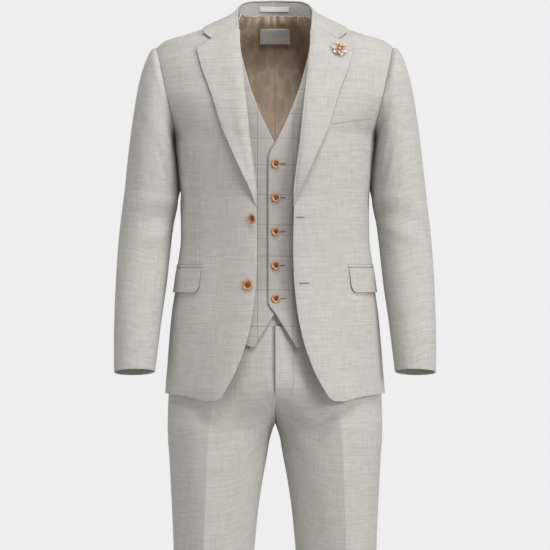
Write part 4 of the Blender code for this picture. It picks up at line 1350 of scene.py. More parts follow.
@dataclass
class Collar:
    """Collar leaf with its fold and ends, and the stand inside the neck."""

    finishes: Finishes
    fold: tuple[tuple[float, float, float], ...] = (
        (71, -52, -27), (72.6, -34, -6), (73.3, -2, 10), (71, 18, 18), (64, 38, 27),
        (45, 58, 34), (0, 71, 36.5))
    middle: tuple[tuple[float, float, float], ...] = (
        (104, -51, -33), (102, -34, -15), (93.5, 0, 0), (89, 26, 1), (76, 50, 8), (49, 71, 12),
        (0, 82, 12))
    edge: tuple[tuple[float, float, bool, float], ...] = (
        (138, -37, False, 4.8), (139, -31, False, 4.8), (130.5, -22.7, False, 4.6),
        (110.6, -18, True, 5), (85, -14, True, 5), (50, -12.5, True, 5), (0, -13, True, 5))
    notch_corner: Span = (123, -45.6)
    neck_turns: tuple[float, ...] = (60, 70, 90, 105, 120, 140, 180)
    stand_below_fold: float = 3.6
    neck_level: float = -6.0
    stand_start: float = 1.3
    foot_drop: float = 6.0
    foot_inset: float = 2.4
    step: float = 0.125
    gorge_blend: float = 0.5
    # Points over the fold: step outward, step up
    over_fold: Line = ((-1.3, -0.5), (1.2, 0.2), (3.4, -1.6))
    leaf_shares: tuple[float, ...] = (0.3, 0.52, 0.76, 1.0)
    stand_clear: Span = (3.2, 1.5)
    stand_front: float = -24.0

    def gorge_row(self) -> Points:
        """Front end of the leaf: along the gorge to the notch, then to the corner."""
        seen = [Lapels.gorge_start, self.notch_corner, self.edge[0][:2]]
        start, notch, corner = (np.array(point) for point in true_line(seen, JACKET))
        places = [blend(start, notch, share) for share in (-0.03, 0.03, 0.2, 0.5, 0.84)]
        places += [notch, corner]
        row = []
        for index, (x, height) in enumerate(places):
            clear = 0 if index == len(places) - 1 else Lapels.gorge_gap
            row.append(JACKET.on(x, height + clear, LAID_LIFT + 1.9 + 0.2 * index))
        return np.array(row)

    def section(self, station: float) -> Points:
        """Seven points across the leaf at a station, from inside the fold to the edge."""
        edges = [JACKET.on(x, height, lift, behind) for x, height, behind, lift in self.edge]
        top, mid, low = (station_profile(rows)(station) for rows in (self.fold, self.middle, edges))
        out = (low - top) * np.array([1, 1, 0])
        out = out / np.linalg.norm(out)
        up = np.array([0, 0, 1.0])
        line = [top + aside * out + above * up for aside, above in self.over_fold]
        shoulder = top + self.over_fold[-1][0] * out
        for share in self.leaf_shares:
            line.append((1 - share) * (1 - 2 * share) * shoulder + 4 * share * (1 - share) * mid
                        + share * (2 * share - 1) * low)
        return np.array(line)

    def leaf(self) -> Points:
        """Grid of the whole leaf, from one gorge round the neck to the other."""
        last = len(self.fold) - 1
        gorge = self.gorge_row()
        places = (len(gorge) - 1) * shares(40, 45, first=False)
        half = []
        stations = np.unique(np.concatenate([[0, 0.012, 0.03, 0.06],
                                             np.arange(self.step, last + 1e-6, self.step)]))
        for station in stations:
            line = self.section(max(station, 0.001))
            share = float(np.clip(1 - station / self.gorge_blend, 0, 1))
            line = blend(line, gorge, share ** 1.2)
            half.append(station_profile(line)(places))
        return round_the_neck(half)

    def stand(self, start: float | None = None) -> Points:
        """Grid of the stand from below the fold down to the neck seam."""
        fold = station_profile(self.fold)
        turns = station_profile([(turn,) for turn in self.neck_turns])
        half = []
        down = shares(9, 30)
        for station in np.linspace(self.stand_start if start is None else start,
                                   len(self.fold) - 1, 44):
            turn = float(turns.first(station))
            above = float(blend(*self.stand_clear, smooth_step(1.5, 3, station)))
            if turn < 90:
                share = (turn - self.neck_turns[0]) / (90 - self.neck_turns[0])
                height = float(blend(self.stand_front, self.neck_level, share))
                foot = JACKET.on(float(EDGE_LINE.first(height)), height)
            else:
                rise = JacketBody.neck_rise * float(smooth_step(90, 120, turn))
                foot = JACKET.at(turn, self.neck_level + rise)
            behind = float(smooth_step(88, 104, turn))
            inward = np.array([-foot[0], -foot[1], 0]) / np.linalg.norm(foot[:2])
            foot = foot + self.foot_inset * behind * inward
            foot = foot + np.array([0, 0, above - self.foot_drop * behind])
            top = fold(station) - np.array([0, 0, self.stand_below_fold])
            half.append([blend(top, foot, share) for share in down])
        return round_the_neck(half)

    def make(self) -> None:
        """Builds the leaf and the stand."""
        leaf = self.leaf()
        leaf = leaf[:, ::-1]
        Cut("jacket_collar", rolled(leaf, 0.8, 1.4, last_column=False), self.finishes.linen,
            self.finishes.stand_cloth, LAID_CLOTH, "folded", ("jacket_back_left",)).make()
        stand = self.stand()[:, ::-1]
        lengths = along(stand, 0)
        heights = stand[..., 2]
        ribs = np.stack([lengths, heights], axis=-1) * MM
        Cut("jacket_collar_stand", stand, self.finishes.stand_cloth, self.finishes.stand_cloth,
            LIGHT_CLOTH, "folded", ("jacket_collar",), map_points=ribs,
            slot="stand_cloth").make()


@dataclass
class Sleeves:
    """Two-piece sleeves set into the armholes, their cuffs open."""

    finishes: Finishes
    # Outer x, outer height, inner x, inner height, front half depth, back half depth, middle y
    sections: Rows = (
        (238.5, -65.5, 198.2, -238, 64, 66, 0), (250, -84, 197.8, -248, 66, 68, 0),
        (259, -108, 196.2, -266, 68, 70, 0), (268.5, -148, 194.6, -287, 70, 71, 1),
        (279, -213, 191.8, -324, 69.5, 70.5, 4), (288.5, -290, 189.6, -362, 66.5, 67.5, 6.5),
        (297, -365, 198, -408, 64, 65, 8.5), (305, -437, 203.5, -452, 61, 62, 5),
        (310, -515, 210.5, -518, 57.5, 58, -7), (312, -585, 219.3, -584, 53, 54, -20),
        (312.4, -640, 225.8, -638, 49.5, 50.5, -29), (311.7, -694, 232.7, -692, 46, 47, -36))
    start: float = 0.4
    power: float = 2.15
    tuck: float = 15.0
    tuck_step: float = 11.9
    tuck_heights: tuple[float, ...] = (-63.0, -84.0, -215.0, -300.0)
    cuff_rise: float = 7.5
    front_seam: float = 7.0
    back_seam: float = 14.0
    head_rows: tuple[float, ...] = (0.0, 0.03, 0.08, 0.16)
    head_roll: float = 1.1
    step_length: float = 19.0
    row_step: float = 6.0
    vent_length: float = 95.0
    vent_lift: float = 1.6
    vent_reach: float = 14.0
    vent_start: float = 20.0
    # Places on the folds: steps round the arm times the step length, then height on the outer side
    folds: dict[Side, Folds] = field(default_factory=lambda: {
        Side.LEFT: fold_rows(
            (150, -290, 30, -395, 13, 2.0, 8), (160, -330, 40, -425, 12, -2.4, 8),
            (165, -372, 55, -450, 12, 1.8, 6), (60, -200, 95, -330, 20, 1.6),
            (110, -150, 150, -275, 15, -2.6, 5), (20, -470, 60, -620, 18, 1.1),
            (-40, -260, -60, -420, 20, 1.2), (225, -300, 300, -385, 14, -2.2, 6),
            (235, -345, 310, -430, 14, 1.8, 6), (-95, -330, -30, -430, 16, -1.6),
            (90, -480, 40, -560, 14, -1.3), (120, -560, 80, -640, 14, 1.0)),
        Side.RIGHT: fold_rows(
            (155, -300, 45, -375, 13, 2.4, 7), (162, -338, 35, -440, 12, -2.6, 9),
            (170, -385, 60, -470, 13, 2.0, 5), (55, -190, 85, -345, 20, 1.9),
            (105, -160, 155, -285, 15, -2.8, 6), (30, -455, 75, -630, 19, 1.4),
            (-35, -240, -70, -400, 20, 1.4), (228, -310, 305, -400, 14, -2.0, 6),
            (240, -360, 312, -445, 14, 1.6, 5), (-90, -345, -20, -445, 16, -1.8),
            (100, -500, 50, -590, 14, -1.5), (5, -310, 40, -420, 12, -1.2))})

    def ring(self, section: Sequence[float], step: np.ndarray) -> Points:
        """Points of one section at steps round it: outer side, front, inner side, back."""
        outer_x, outer_z, inner_x, inner_z, front, back, middle_y = section
        angle = 2 * np.pi * step / ARMHOLE.steps
        across = np.sign(np.sin(angle)) * np.abs(np.sin(angle)) ** (2 / self.power)
        inward = np.sign(np.cos(angle)) * np.abs(np.cos(angle)) ** (2 / self.power)
        x = (outer_x + inner_x) / 2 + inward * (outer_x - inner_x) / 2
        z = (outer_z + inner_z) / 2 + inward * (outer_z - inner_z) / 2
        y = middle_y - across * np.where(across > 0, front, back)
        return np.stack([x, y, z], axis=-1)

    def grid(self, first: float, last: float, side: Side, vent: bool) -> Points:
        """Part of a sleeve from one seam round to the other.

        Args:
            first: Step at which the part starts.
            last: Step at which it ends.
            side: Side of the suit.
            vent: Whether its rear edge laps over at the cuff.

        Returns:
            The grid, armhole at the top.
        """
        step = blend(first, last, shares(int(abs(first - last) * 3.4), abs(first - last) * 17))
        rings = [ARMHOLE.points(step) + np.array([self.start, 0, 0])]
        count = len(self.sections)
        for index, section in enumerate(self.sections):
            ring = self.ring(section, step)
            tilt = float(smooth_step(count - 4, count - 1, index)) * self.cuff_rise
            ring[:, 2] += tilt * np.sin(2 * np.pi * step / ARMHOLE.steps)
            rings.append(ring)
        rings = np.array(rings)
        lengths = np.linalg.norm(np.diff(rings, axis=0), axis=-1).mean(axis=1)
        rows = row_places(lengths, self.row_step, 4, lengths[-1], self.head_rows)
        points = station_profile(rings)(rows).reshape(len(rows), len(step), 3)
        levels = [(ARMHOLE.top,)] + [(section[1],) for section in self.sections]
        outer_height = station_profile(levels).first(rows)
        place = np.broadcast_to(step * self.step_length, points.shape[:2])
        height = np.broadcast_to(outer_height[:, None], points.shape[:2])
        head = smooth_step(0.0, 2.5, rows)[:, None]
        move = folded(self.folds[side], place, height) * head + ease(points, 0.3) * head
        move += self.head_roll * hump(rows, 0.9, 0.8)[:, None]
        if vent:
            cuff = self.sections[-1][1]
            rear = np.exp(-(along(points, 1)[:, -1:] - along(points, 1)) / self.vent_reach)
            low = 1 - smooth_step(cuff + self.vent_start, cuff + self.vent_length, height)
            move += self.vent_lift * rear * low
        points = points + facing(points) * move[..., None]
        highest, high, low, lowest = self.tuck_heights
        beside = smooth_step(lowest, low, height) * (1 - smooth_step(high, highest, height))
        points[..., 0] -= self.tuck * hump(step % ARMHOLE.steps, self.tuck_step, 1.7) * beside
        return points

    def make(self) -> None:
        """Builds the four sleeve pieces."""
        for side in Side:
            top = self.grid(self.front_seam, self.back_seam - ARMHOLE.steps, side, True)
            under = self.grid(self.back_seam, self.front_seam, side, False)
            for name, points in (("sleeve_top", top), ("sleeve_under", under)):
                Cut(f"{name}_{side.value}", side.placed(rolled(points, 0.4, 1.0)),
                    self.finishes.linen, self.finishes.linen,
                    rests_on=(f"jacket_front_{side.value}",), tube=True).make()


@dataclass
class Pockets:
    """Jetted flap pockets and the chest welt."""

    finishes: Finishes
    body: JacketBody
    front_x: float = 144.0
    flap_top: float = -491.0
    flap_low: float = -539.5
    end_turn: float = 104.0
    stand_off: float = 1.4
    corner: float = 13.0
    jetting_top: float = -485.0
    welt_top: tuple[tuple[float, float], tuple[float, float]] = ((107, -211), (187, -200))
    welt_height: float = 23.5
    welt_top_lift: float = 1.9
    welt_foot_lift: float = 0.2
    welt_end_lift: float = 0.25
    # Radius and lift of the dark threads that paint the shade of the pocket openings
    mouth_shade: float = 0.42
    mouth_shade_lift: float = 0.1
    turn_length: float = 3.3
    thin_cloth: float = 0.9

    def flap(self, side: Side) -> Points:
        """Grid of a flap with rounded lower corners."""
        top_x, top_z = true_line([(self.front_x, self.flap_top)], JACKET)[0]
        low_z = true_line([(self.front_x, self.flap_low)], JACKET)[0][1]
        start = float(JACKET.turn_of(top_x, top_z))
        width = (self.end_turn - start) * self.turn_length
        across = shares(40, width)
        across = np.unique(np.concatenate([across, np.linspace(0, self.corner, 9) / width,
                                           1 - np.linspace(0, self.corner, 9) / width]))
        down, share = np.meshgrid(shares(12, 48), across, indexing="ij")
        from_end = np.minimum(share, 1 - share) * width
        inside = np.clip(1 - from_end / self.corner, 0, 1)
        low = low_z + self.corner * (1 - np.sqrt(1 - inside ** 2))
        turn = blend(start + 0.8 * down, self.end_turn, share)
        height = blend(top_z, low, down)
        swell = 0.9 * np.sin(np.pi * share) * down + self.stand_off * down
        swell = swell - 1.1 * (1 - down) ** 6 + self.body.lift(turn, height, side)
        return JACKET.lifted(turn, height, LAID_LIFT + swell)

    def jetting(self, side: Side) -> Points:
        """Grid of the jetted strip over a flap."""
        top_x, top_z = true_line([(self.front_x, self.jetting_top)], JACKET)[0]
        low_z = true_line([(self.front_x, self.flap_top)], JACKET)[0][1] + 2 * HALF_GAP
        start = float(JACKET.turn_of(top_x, top_z)) - 1.0
        down, share = np.meshgrid(np.linspace(0, 1, 9), shares(36, 135), indexing="ij")
        turn = blend(start, self.end_turn + 1.0, share)
        height = blend(top_z, low_z, down)
        round_over = LAID_LIFT * (0.25 + 0.6 * np.sqrt(np.clip(np.sin(np.pi * (0.08 + 0.9 * down)),
                                                               0, 1)))
        return JACKET.lifted(turn, height, round_over + self.body.lift(turn, height, side))

    def chest_welt(self) -> Points:
        """Grid of the chest welt, whose top stands a little proud and whose foot lies flat."""
        (start_x, start_z), (end_x, end_z) = true_line(self.welt_top, JACKET)
        down, share = np.meshgrid(shares(12, 23), shares(30, 80), indexing="ij")
        x = blend(start_x, end_x, share)
        height = blend(start_z, end_z, share) - self.welt_height * down
        turn = JACKET.turn_of(x, height)
        ends = smooth_step(0, 0.04, share) * (1 - smooth_step(0.96, 1.0, share))
        middle = blend(self.welt_top_lift, self.welt_foot_lift, smooth_step(0.15, 1.0, down))
        proud = blend(self.welt_end_lift, middle, ends)
        return JACKET.lifted(turn, height, proud + self.body.lift(turn, height, Side.LEFT))

    def mouth_shades(self, side: Side) -> None:
        """Dark threads of painted shade where the pockets open: round the jetting, and over the chest
        welt.
        """
        strip, flip = self.jetting(side), np.array([1 if side is Side.LEFT else -1, 1, 1])
        runs = []
        for row in (0, len(strip) // 2 + 3):
            runs.append((strip[row] + facing(strip)[row] * self.mouth_shade_lift) * flip)
        if side is Side.LEFT:
            welt = self.chest_welt()
            runs.append((welt[0] + facing(welt)[0] * self.mouth_shade_lift)[3:-3])
        lines = threads(f"pocket_mouth_shades_{side.value}", runs, self.mouth_shade, self.finishes.grey_thread)
        settle(lines, "suit_cloth")

    def make(self) -> None:
        """Builds the flaps, their jettings and the chest welt."""
        linen = self.finishes.linen
        for side in Side:
            flap = rolled(self.flap(side), 0.9, 1.3, first_row=False)
            front = f"jacket_front_{side.value}"
            Cut(f"pocket_flap_{side.value}", side.placed(flap), linen, thickness=LAID_CLOTH,
                rests_on=(front,)).make()
            strip = self.jetting(side)
            Cut(f"pocket_jetting_{side.value}", side.placed(strip), linen,
                thickness=self.thin_cloth, held="folded", rests_on=(front,), allowance=6).make()
            self.mouth_shades(side)
        welt = rolled(self.chest_welt(), 0.6, 1.2, last_row=False)
        Cut("chest_welt", welt, linen, thickness=self.thin_cloth, held="laid",
            rests_on=("jacket_front_left",)).make()


@dataclass
class Waistcoat:
    """Checked fronts that button left over right, and satin backs with a centre seam."""

    finishes: Finishes
    inset: float = 9.5
    shoulder_inset: float = 3.6
    neck_inset: float = 6.2
    shoulder_drop: float = 1.9
    neck_draw_in: float = 1.8
    armhole: Line = ((-46, 166), (-80, 158), (-125, 151), (-170, 154), (-215, 170), (-252, 184.4))
    armhole_top: float = -46.0
    armhole_low: float = -252.0
    edge: Line = (
        (80, -2), (73, -20), (67, -63), (51, -128), (30.5, -184), (15.6, -217), (0, -247.5),
        (-12.7, -273), (-13.8, -300), (-13.8, -540), (-13.4, -559), (0, -579.5), (41.7, -647))
    hem: Line = ((41.7, -647), (54, -643.5), (120, -626), (185, -608))
    side_hem: float = -606.0
    back_hem: float = -600.0
    middle_hem: float = -640.0
    side_turn: float = 94.0
    overlap_lift: float = 3.8
    hem_stand: float = 5.0
    close_fit: float = 8.0
    overlap_fade: Span = (22.0, 62.0)
    overlap_heights: Span = (-150.0, -235.0)
    crumple: float = 0.6
    # Where the fronts sink in: distances from the middle, then heights
    sink_across: Span = (60.0, 130.0)
    sink_foot: Span = (-592.0, -520.0)
    sink_head: Span = (-260.0, -120.0)
    stand_heights: Span = (-630.0, -570.0)
    # Where the back is drawn in and gathered: turns, rows and heights
    rise_turns: Span = (89.0, 103.0)
    rise_rows: Span = (0.0, 6.0)
    draw_start: Span = (92.0, 112.0)
    draw_end: Span = (140.0, 160.0)
    draw_heights: Span = (-60.0, -25.0)
    gather_heights: Span = (-62.0, -4.0)
    label_across: Span = (30.0, 40.0)
    label_heights: Span = (-15.0, -7.0)
    wide_heights: Span = (-260.0, -40.0)
    gather_depth: float = 2.0
    gather_draw_in: float = 2.6
    label_quiet: float = 0.8
    shoulder_levels: tuple[float, ...] = (-13.5, -20, -29, -38)
    body_levels: tuple[float, ...] = (-290, -335, -390, -445, -500, -545)
    neck_top: float = 6.0
    button_heights: tuple[float, ...] = (-288, -354, -420, -486, -551)
    armhole_rows: int = 8
    row_step: float = 5.5
    # Seen heights of the check's cross lines, and its upright lines
    check_heights: tuple[float, ...] = (-676, -605, -534, -468, -407, -348, -290, -238, -190.5,
                                        -143, -96, -50, 0, 50)
    check_across: Line = (
        (-240, -3), (-172, -2), (-103, -1), (-34, 0), (35, 1), (104, 2), (173, 3), (242, 4))
    folds: Folds = fold_rows(
        (-40, -300, -70, -420, 14, 1.2), (24, -330, 60, -400, 12, -1.2),
        (18, -395, 70, -425, 10, 1.1), (20, -520, 60, -470, 12, -1.0),
        (-30, -505, -75, -560, 14, -1.3), (-25, -575, -60, -640, 12, 1.0),
        (25, -590, 50, -640, 12, 0.9))

    def __post_init__(self) -> None:
        """Works out the waistcoat's form from the jacket's."""
        rows = []
        for height, half_width, front, back in JACKET_RINGS:
            share = float(smooth_step(-150, -70, height))
            across = half_width - blend(self.inset, self.shoulder_inset, share)
            inset = blend(self.inset, self.neck_inset, share)
            rows.append((height - self.shoulder_drop * share, across, front - inset, back - inset))
        self.form = Form(rows)
        self.edge_line = by_height(true_line(self.edge, self.form))
        self.hem_line = true_line(self.hem, self.form)

    @property
    def last_row(self) -> int:
        """Number of the hem's row."""
        return len(self.shoulder_levels) + self.armhole_rows + len(self.body_levels) + 3

    def level(self, row: Number, hem: Number) -> np.ndarray:
        """Height of a row over a given hem height."""
        top = len(self.shoulder_levels)
        shoulder = np.interp(row, range(top + 1), [*self.shoulder_levels, self.armhole_top])
        share = (1 - np.cos(np.pi * np.clip(np.subtract(row, top), 0, self.armhole_rows)
                            / self.armhole_rows)) / 2
        armhole = blend(self.armhole_top, self.armhole_low, share)
        start = top + self.armhole_rows
        body = np.interp(row, start + np.arange(len(self.body_levels) + 1),
                         [self.armhole_low, *self.body_levels])
        upper = np.where(np.less(row, top), shoulder, np.where(np.less(row, start), armhole, body))
        last = start + len(self.body_levels)
        return blend(upper, hem, np.interp(row, last + np.arange(4), [0, 0.35, 0.7, 1.0]))

    def rows(self) -> np.ndarray:
        """Row numbers of a panel."""
        heights = [self.level(float(row), self.middle_hem) for row in range(self.last_row + 1)]
        return row_places(np.abs(np.diff(heights)), self.row_step, 2, 30.0)

    def end_turn(self, height: np.ndarray, behind: bool) -> np.ndarray:
        """Turn where a panel ends: shoulder seam, armhole, then side seam."""
        x = np.minimum(Profile(self.armhole).first(height), self.form.profile.first(height))
        armhole = self.form.turn_of(x, height, behind)
        low = blend(90.0, self.side_turn, smooth_step(0, 60, self.armhole_low - height))
        turn = np.where(height > self.armhole_low, armhole, low)
        return np.where(height > self.armhole_top, 90.0, turn)

    def front(self, lift: float, side: Side) -> Points:
        """Grid of a front panel; the lift raises its overlapping edge."""
        hem = Profile(self.hem_line)
        point_x, point_z = self.hem_line[0]
        low_turn = float(self.form.turn_of(point_x, point_z))
        row, share = np.meshgrid(self.rows(), shares(44, 150), indexing="ij")
        share = share ** 1.25
        hem_turn = blend(low_turn, self.side_turn, share)
        height = self.level(row, hem.first(self.form.at(hem_turn, self.side_hem)[..., 0]))
        edge_turn = self.form.turn_of(self.edge_line.first(height), height)
        turn = blend(edge_turn, self.end_turn(height, False), share)
        x = self.form.at(turn, height)[..., 0]
        fade = 1 - smooth_step(*self.overlap_fade, x)
        raised = lift * fade * smooth_step(*self.overlap_heights, height)
        seen_x = x if side is Side.LEFT else -x
        crumple = self.crumple * ease(self.form.at(turn, height))
        move = raised + folded(self.folds, seen_x, height) + crumple
        return self.form.lifted(turn, height, move - self.sink(x, height))

    def left_lift(self, x: float, height: float) -> float:
        """How far the left front's face lies off the form near its edge."""
        at = self.form.at(self.form.turn_of(x, height), height)
        folds = float(folded(self.folds, np.asarray(x), np.asarray(height)))
        crumple = self.crumple * float(ease(at))
        return self.overlap_lift + folds + crumple - float(self.sink(x, height))

    def sink(self, x: Number, height: Number) -> np.ndarray:
        """How far the middle of the fronts lies in from the form, as cloth pulled close does."""
        middle = 1 - smooth_step(*self.sink_across, np.abs(x))
        above_hem = smooth_step(*self.sink_foot, height)
        close = self.close_fit * above_hem * (1 - smooth_step(*self.sink_head, height))
        stand = self.hem_stand * (1 - smooth_step(*self.stand_heights, height))
        return middle * (close - stand)

    def back(self, side: Side) -> Points:
        """Grid of a back panel, gathered a little under the collar stand."""
        row, share = np.meshgrid(self.rows(), shares(60, 150), indexing="ij")
        height = self.level(row, blend(self.side_hem, self.back_hem, share))
        turn = blend(self.end_turn(height, True), 180.0, share)
        rise = (self.neck_top - self.shoulder_levels[0]) * smooth_step(*self.rise_turns, turn)
        height = height + rise * (1 - smooth_step(*self.rise_rows, row))
        beside = smooth_step(*self.draw_start, turn) * (1 - smooth_step(*self.draw_end, turn))
        deeper = self.neck_draw_in * beside * smooth_step(*self.draw_heights, height)
        x = self.form.at(turn, height)[..., 0] * (1 if side is Side.LEFT else -1)
        near_stand = smooth_step(*self.gather_heights, height)
        gathers = (1.2 * np.sin(x / 2.9 + 1.1 * np.sin(x / 9.0)) + 0.7 * np.sin(x / 6.1 + 1.0))
        below_label = 1 - smooth_step(*self.label_heights, height)
        by_label = (1 - smooth_step(*self.label_across, np.abs(x))) * below_label
        gathers = gathers * (1 - self.label_quiet * by_label)
        wide = 1.5 * np.sin(x / 15 + height / 60) * smooth_step(*self.wide_heights, height)
        drawn_in = deeper + self.gather_draw_in * near_stand
        move = gathers * near_stand ** 1.6 * self.gather_depth + 0.5 * wide - drawn_in
        return self.form.lifted(turn, height, move)

    def checks(self, points: Points, side: Side) -> Points:
        """Place of each point in the check, one unit to each check."""
        scale = EYE_DISTANCE / (EYE_DISTANCE + points[..., 1])
        seen_x = points[..., 0] * scale * (1 if side is Side.LEFT else -1)
        seen_z = EYE_LEVEL + (points[..., 2] - EYE_LEVEL) * scale
        across = np.array(self.check_across)
        u = np.interp(seen_x, across[:, 0], across[:, 1])
        v = np.interp(seen_z, self.check_heights, range(len(self.check_heights)))
        return np.stack([u, v], axis=-1)

    def make(self) -> None:
        """Builds the two fronts and the two backs."""
        for side, lift in ((Side.LEFT, self.overlap_lift), (Side.RIGHT, 0.0)):
            front = rolled(self.front(lift, side), 1.3, 1.8)
            placed = side.placed(front)
            checks = self.checks(front, side)
            if side is Side.RIGHT:
                checks = checks[:, ::-1]
            # The waistcoat fronts take the darker cloth: its checks are its own, its darker ground is
            # painted shade
            Cut(f"waistcoat_front_{side.value}", placed, self.finishes.shaded_checked_linen,
                self.finishes.plain_satin, check_points=checks, slot="waistcoat_cloth").make()
            back = rolled(self.back(side), 0.7, 1.1)
            Cut(f"waistcoat_back_{side.value}", side.placed(back), self.finishes.plain_satin,
                self.finishes.satin, LIGHT_CLOTH, slot="lining_satin").make()


@dataclass
class Trousers:
    """Pressed trousers with a fork, a waistband and a fly."""

    finishes: Finishes
    # Above the fork: height, half width, front depth, back depth
    rings: Rows = (
        (-560, 176, 104, 96), (-602, 180, 107.5, 98), (-640, 186, 110.6, 103),
        (-690, 199, 113.4, 109), (-740, 207.4, 114, 113), (-800, 209.4, 112, 115),
        (-810, 209.4, 112, 115))
    # Leg: height, inner x, crease x, outer x, front crease depth, back crease depth
    legs: Rows = (
        (-640, 0.5, 112, 186, 95, 92), (-700, 0.5, 116, 201, 99, 97),
        (-750, 0.1, 118, 208, 101, 101), (-793, 0.1, 126, 209.3, 102, 104),
        (-801, 3.0, 127, 209.4, 102, 104),
        (-822, 8.8, 129, 209, 102, 105), (-855, 14.8, 130.5, 206.5, 101.5, 105),
        (-913, 25.5, 132.5, 203.4, 100, 104), (-973, 34, 135, 200.6, 97, 101),
        (-1041, 40.3, 136.6, 198.2, 93, 98), (-1180, 54, 137.5, 195.5, 82, 90),
        (-1400, 70, 137.5, 193.5, 71, 81), (-1598, 81, 137.5, 192, 64, 76))
    crease_angle: Line = ((-1598, 62), (-1040, 68), (-800, 74), (-700, 84), (-600, 89))
    seam_depth: float = 8.0
    fork_top: float = -700.0
    fork_low: float = -800.0
    front_power: float = 2.5
    back_power: float = 2.0
    band_top: float = -565.0
    band_low: float = -603.0
    hem: float = -1598.0
    centre_clear: dict[bool, float] = field(default_factory=lambda: {False: 0.2, True: -0.15})
    fork_sink: float = 3.6
    fork_middle: float = -782.0
    fork_lap: float = 1.2
    fly_low: float = -745.0
    fly_lap: float = 4.6
    fly_sink: float = 1.6
    columns: int = 17
    row_step: float = 7.0
    fork_rows: Span = (-690.0, -830.0)
    fork_row_step: float = 2.6
    shield_heights: Span = (-607.0, -702.0)
    shield_across: Span = (-22.0, 24.0)
    shield_taper: float = -670.0
    shield_narrow: float = 6.0
    shield_depth: float = 1.2
    crumple: float = 0.7
    # Round the crease: its x, how far it reaches, how much it quiets the folds
    crease_band: Span = (130.0, 14.0)
    crease_quiet: float = 0.6
    seam_fade: float = 14.0
    fly_reach: Span = (38.0, 12.0)
    fly_fade: Span = (-14.0, 60.0)
    fork_sink_reach: float = 26.0
    fork_lap_reach: float = 12.0
    fork_lap_spread: float = 20.0
    folds: dict[Side, Folds] = field(default_factory=lambda: {
        Side.LEFT: fold_rows(
            (8, -770, 70, -845, 10, 2.2, 4), (12, -800, 60, -890, 10, -1.8, 4),
            (20, -742, 85, -790, 12, 1.6), (150, -760, 165, -930, 16, 1.2),
            (60, -900, 80, -1030, 16, -1.2), (95, -1200, 170, -1235, 14, 1.4),
            (100, -1245, 175, -1225, 12, -1.2), (100, -1490, 175, -1520, 14, 2.0),
            (95, -1530, 180, -1545, 12, -1.6), (30, -640, 45, -735, 14, 0.9)),
        Side.RIGHT: fold_rows(
            (9, -765, 62, -850, 10, 2.4, 5), (14, -805, 55, -905, 10, -2.0, 4),
            (22, -738, 80, -780, 12, 1.8), (155, -780, 160, -950, 16, 1.4),
            (65, -890, 72, -1040, 16, -1.4), (40, -640, 62, -760, 16, 1.3),
            (98, -1210, 172, -1230, 14, 1.5), (96, -1255, 170, -1245, 12, -1.1),
            (102, -1485, 178, -1510, 14, 1.8), (92, -1528, 176, -1552, 12, -1.8))})

    def __post_init__(self) -> None:
        """Works out the form above the fork."""
        self.form = Form(self.rings)

    def quarter(self, seam: Sequence[float], crease: Sequence[float], limit: float,
                share: np.ndarray) -> Points:
        """Points between a leg seam, which is round, and a pressed crease, which is sharp."""
        angle, most = np.radians(limit) * share, math.radians(limit)
        across = (1 - np.cos(angle)) / (1 - math.cos(most))
        deep = np.sin(angle) / math.sin(most)
        return np.stack([blend(seam[0], crease[0], across), blend(seam[1], crease[1], deep)],
                        axis=-1)

    def row(self, height: float, behind: bool, share: np.ndarray) -> Points:
        """Points of a leg panel at a height, from the centre or inner seam to the outer seam."""
        inner_x, crease_x, outer_x, front, back = Profile(self.legs)(height)
        limit = float(Profile(self.crease_angle).first(height))
        crease = (crease_x, back if behind else -front)
        outer = (outer_x, self.seam_depth * float(smooth_step(-800, -1000, height)))
        leg = np.concatenate([self.quarter((inner_x, self.seam_depth), crease, limit, share),
                              self.quarter(outer, crease, limit, 1 - share[1:])])
        power = self.back_power if behind else self.front_power
        span = self.fork_top - self.fork_low
        fork = float(np.clip((self.fork_top - height) / span, 0, 1)) ** power
        leg = np.column_stack([leg, np.full(len(leg), height)])
        if fork == 1.0:
            return leg
        crease_turn = float(self.form.turn_of(crease_x, height, behind))
        centre = 180.0 if behind else 0.0
        turns = np.concatenate([blend(centre, crease_turn, share),
                                blend(crease_turn, 90.0, share[1:])])
        return blend(self.form.at(turns, height), leg, fork)

    def heights(self) -> np.ndarray:
        """Row heights, closer together round the fork and at the hem."""
        start, end = self.fork_rows
        rows = [np.arange(self.band_low, start, -self.row_step),
                np.arange(start, end, -self.fork_row_step), np.arange(end, self.hem, -self.row_step),
                self.hem + np.array([0, 0.25, 0.6, 1.1, 1.8, 3]),
                self.band_low - HEM_STEPS]
        return -np.unique(np.round(-np.concatenate(rows), 4))

    def panel(self, behind: bool, side: Side) -> Points:
        """Grid of one leg panel."""
        share = shares(self.columns, 80)
        points = np.array([self.row(height, behind, share) for height in self.heights()])
        if behind:
            points = points[:, ::-1]
        x, height = points[..., 0], points[..., 2]
        near_crease = hump(x, *self.crease_band) if not behind else 0.0
        quiet = 1 - self.crease_quiet * near_crease
        move = folded(self.folds[side], x, height) * quiet + self.crumple * ease(points)
        away = smooth_step(0, self.seam_fade, x)
        lap, reach = self.fly_lap, self.fly_reach[0]
        if side is Side.RIGHT:
            lap, reach = -self.fly_sink, self.fly_reach[1]
        fly = 0.0 if behind else lap * (1 - smooth_step(3, reach, x))
        start, end = (self.fly_low + step for step in self.fly_fade)
        fly = fly * smooth_step(start, end, height)
        if side is Side.LEFT and not behind:
            reach = self.fork_sink_reach
            fade = 1 - smooth_step(0, reach, x)
            fly -= self.fork_sink * fade * hump(height, self.fork_middle, reach)
        points = points + facing(points) * (move * away + fly)[..., None]
        points = rolled(points, 0.9, 1.5)
        clear = np.full_like(x, self.centre_clear[behind])
        if side is Side.RIGHT and not behind:
            lap = self.fork_lap * hump(height, self.fork_middle, self.fork_lap_spread)
            points[..., 0] -= lap * (1 - smooth_step(0, self.fork_lap_reach, x))
            clear -= lap
        points[..., 0] = np.maximum(points[..., 0], clear)
        return points

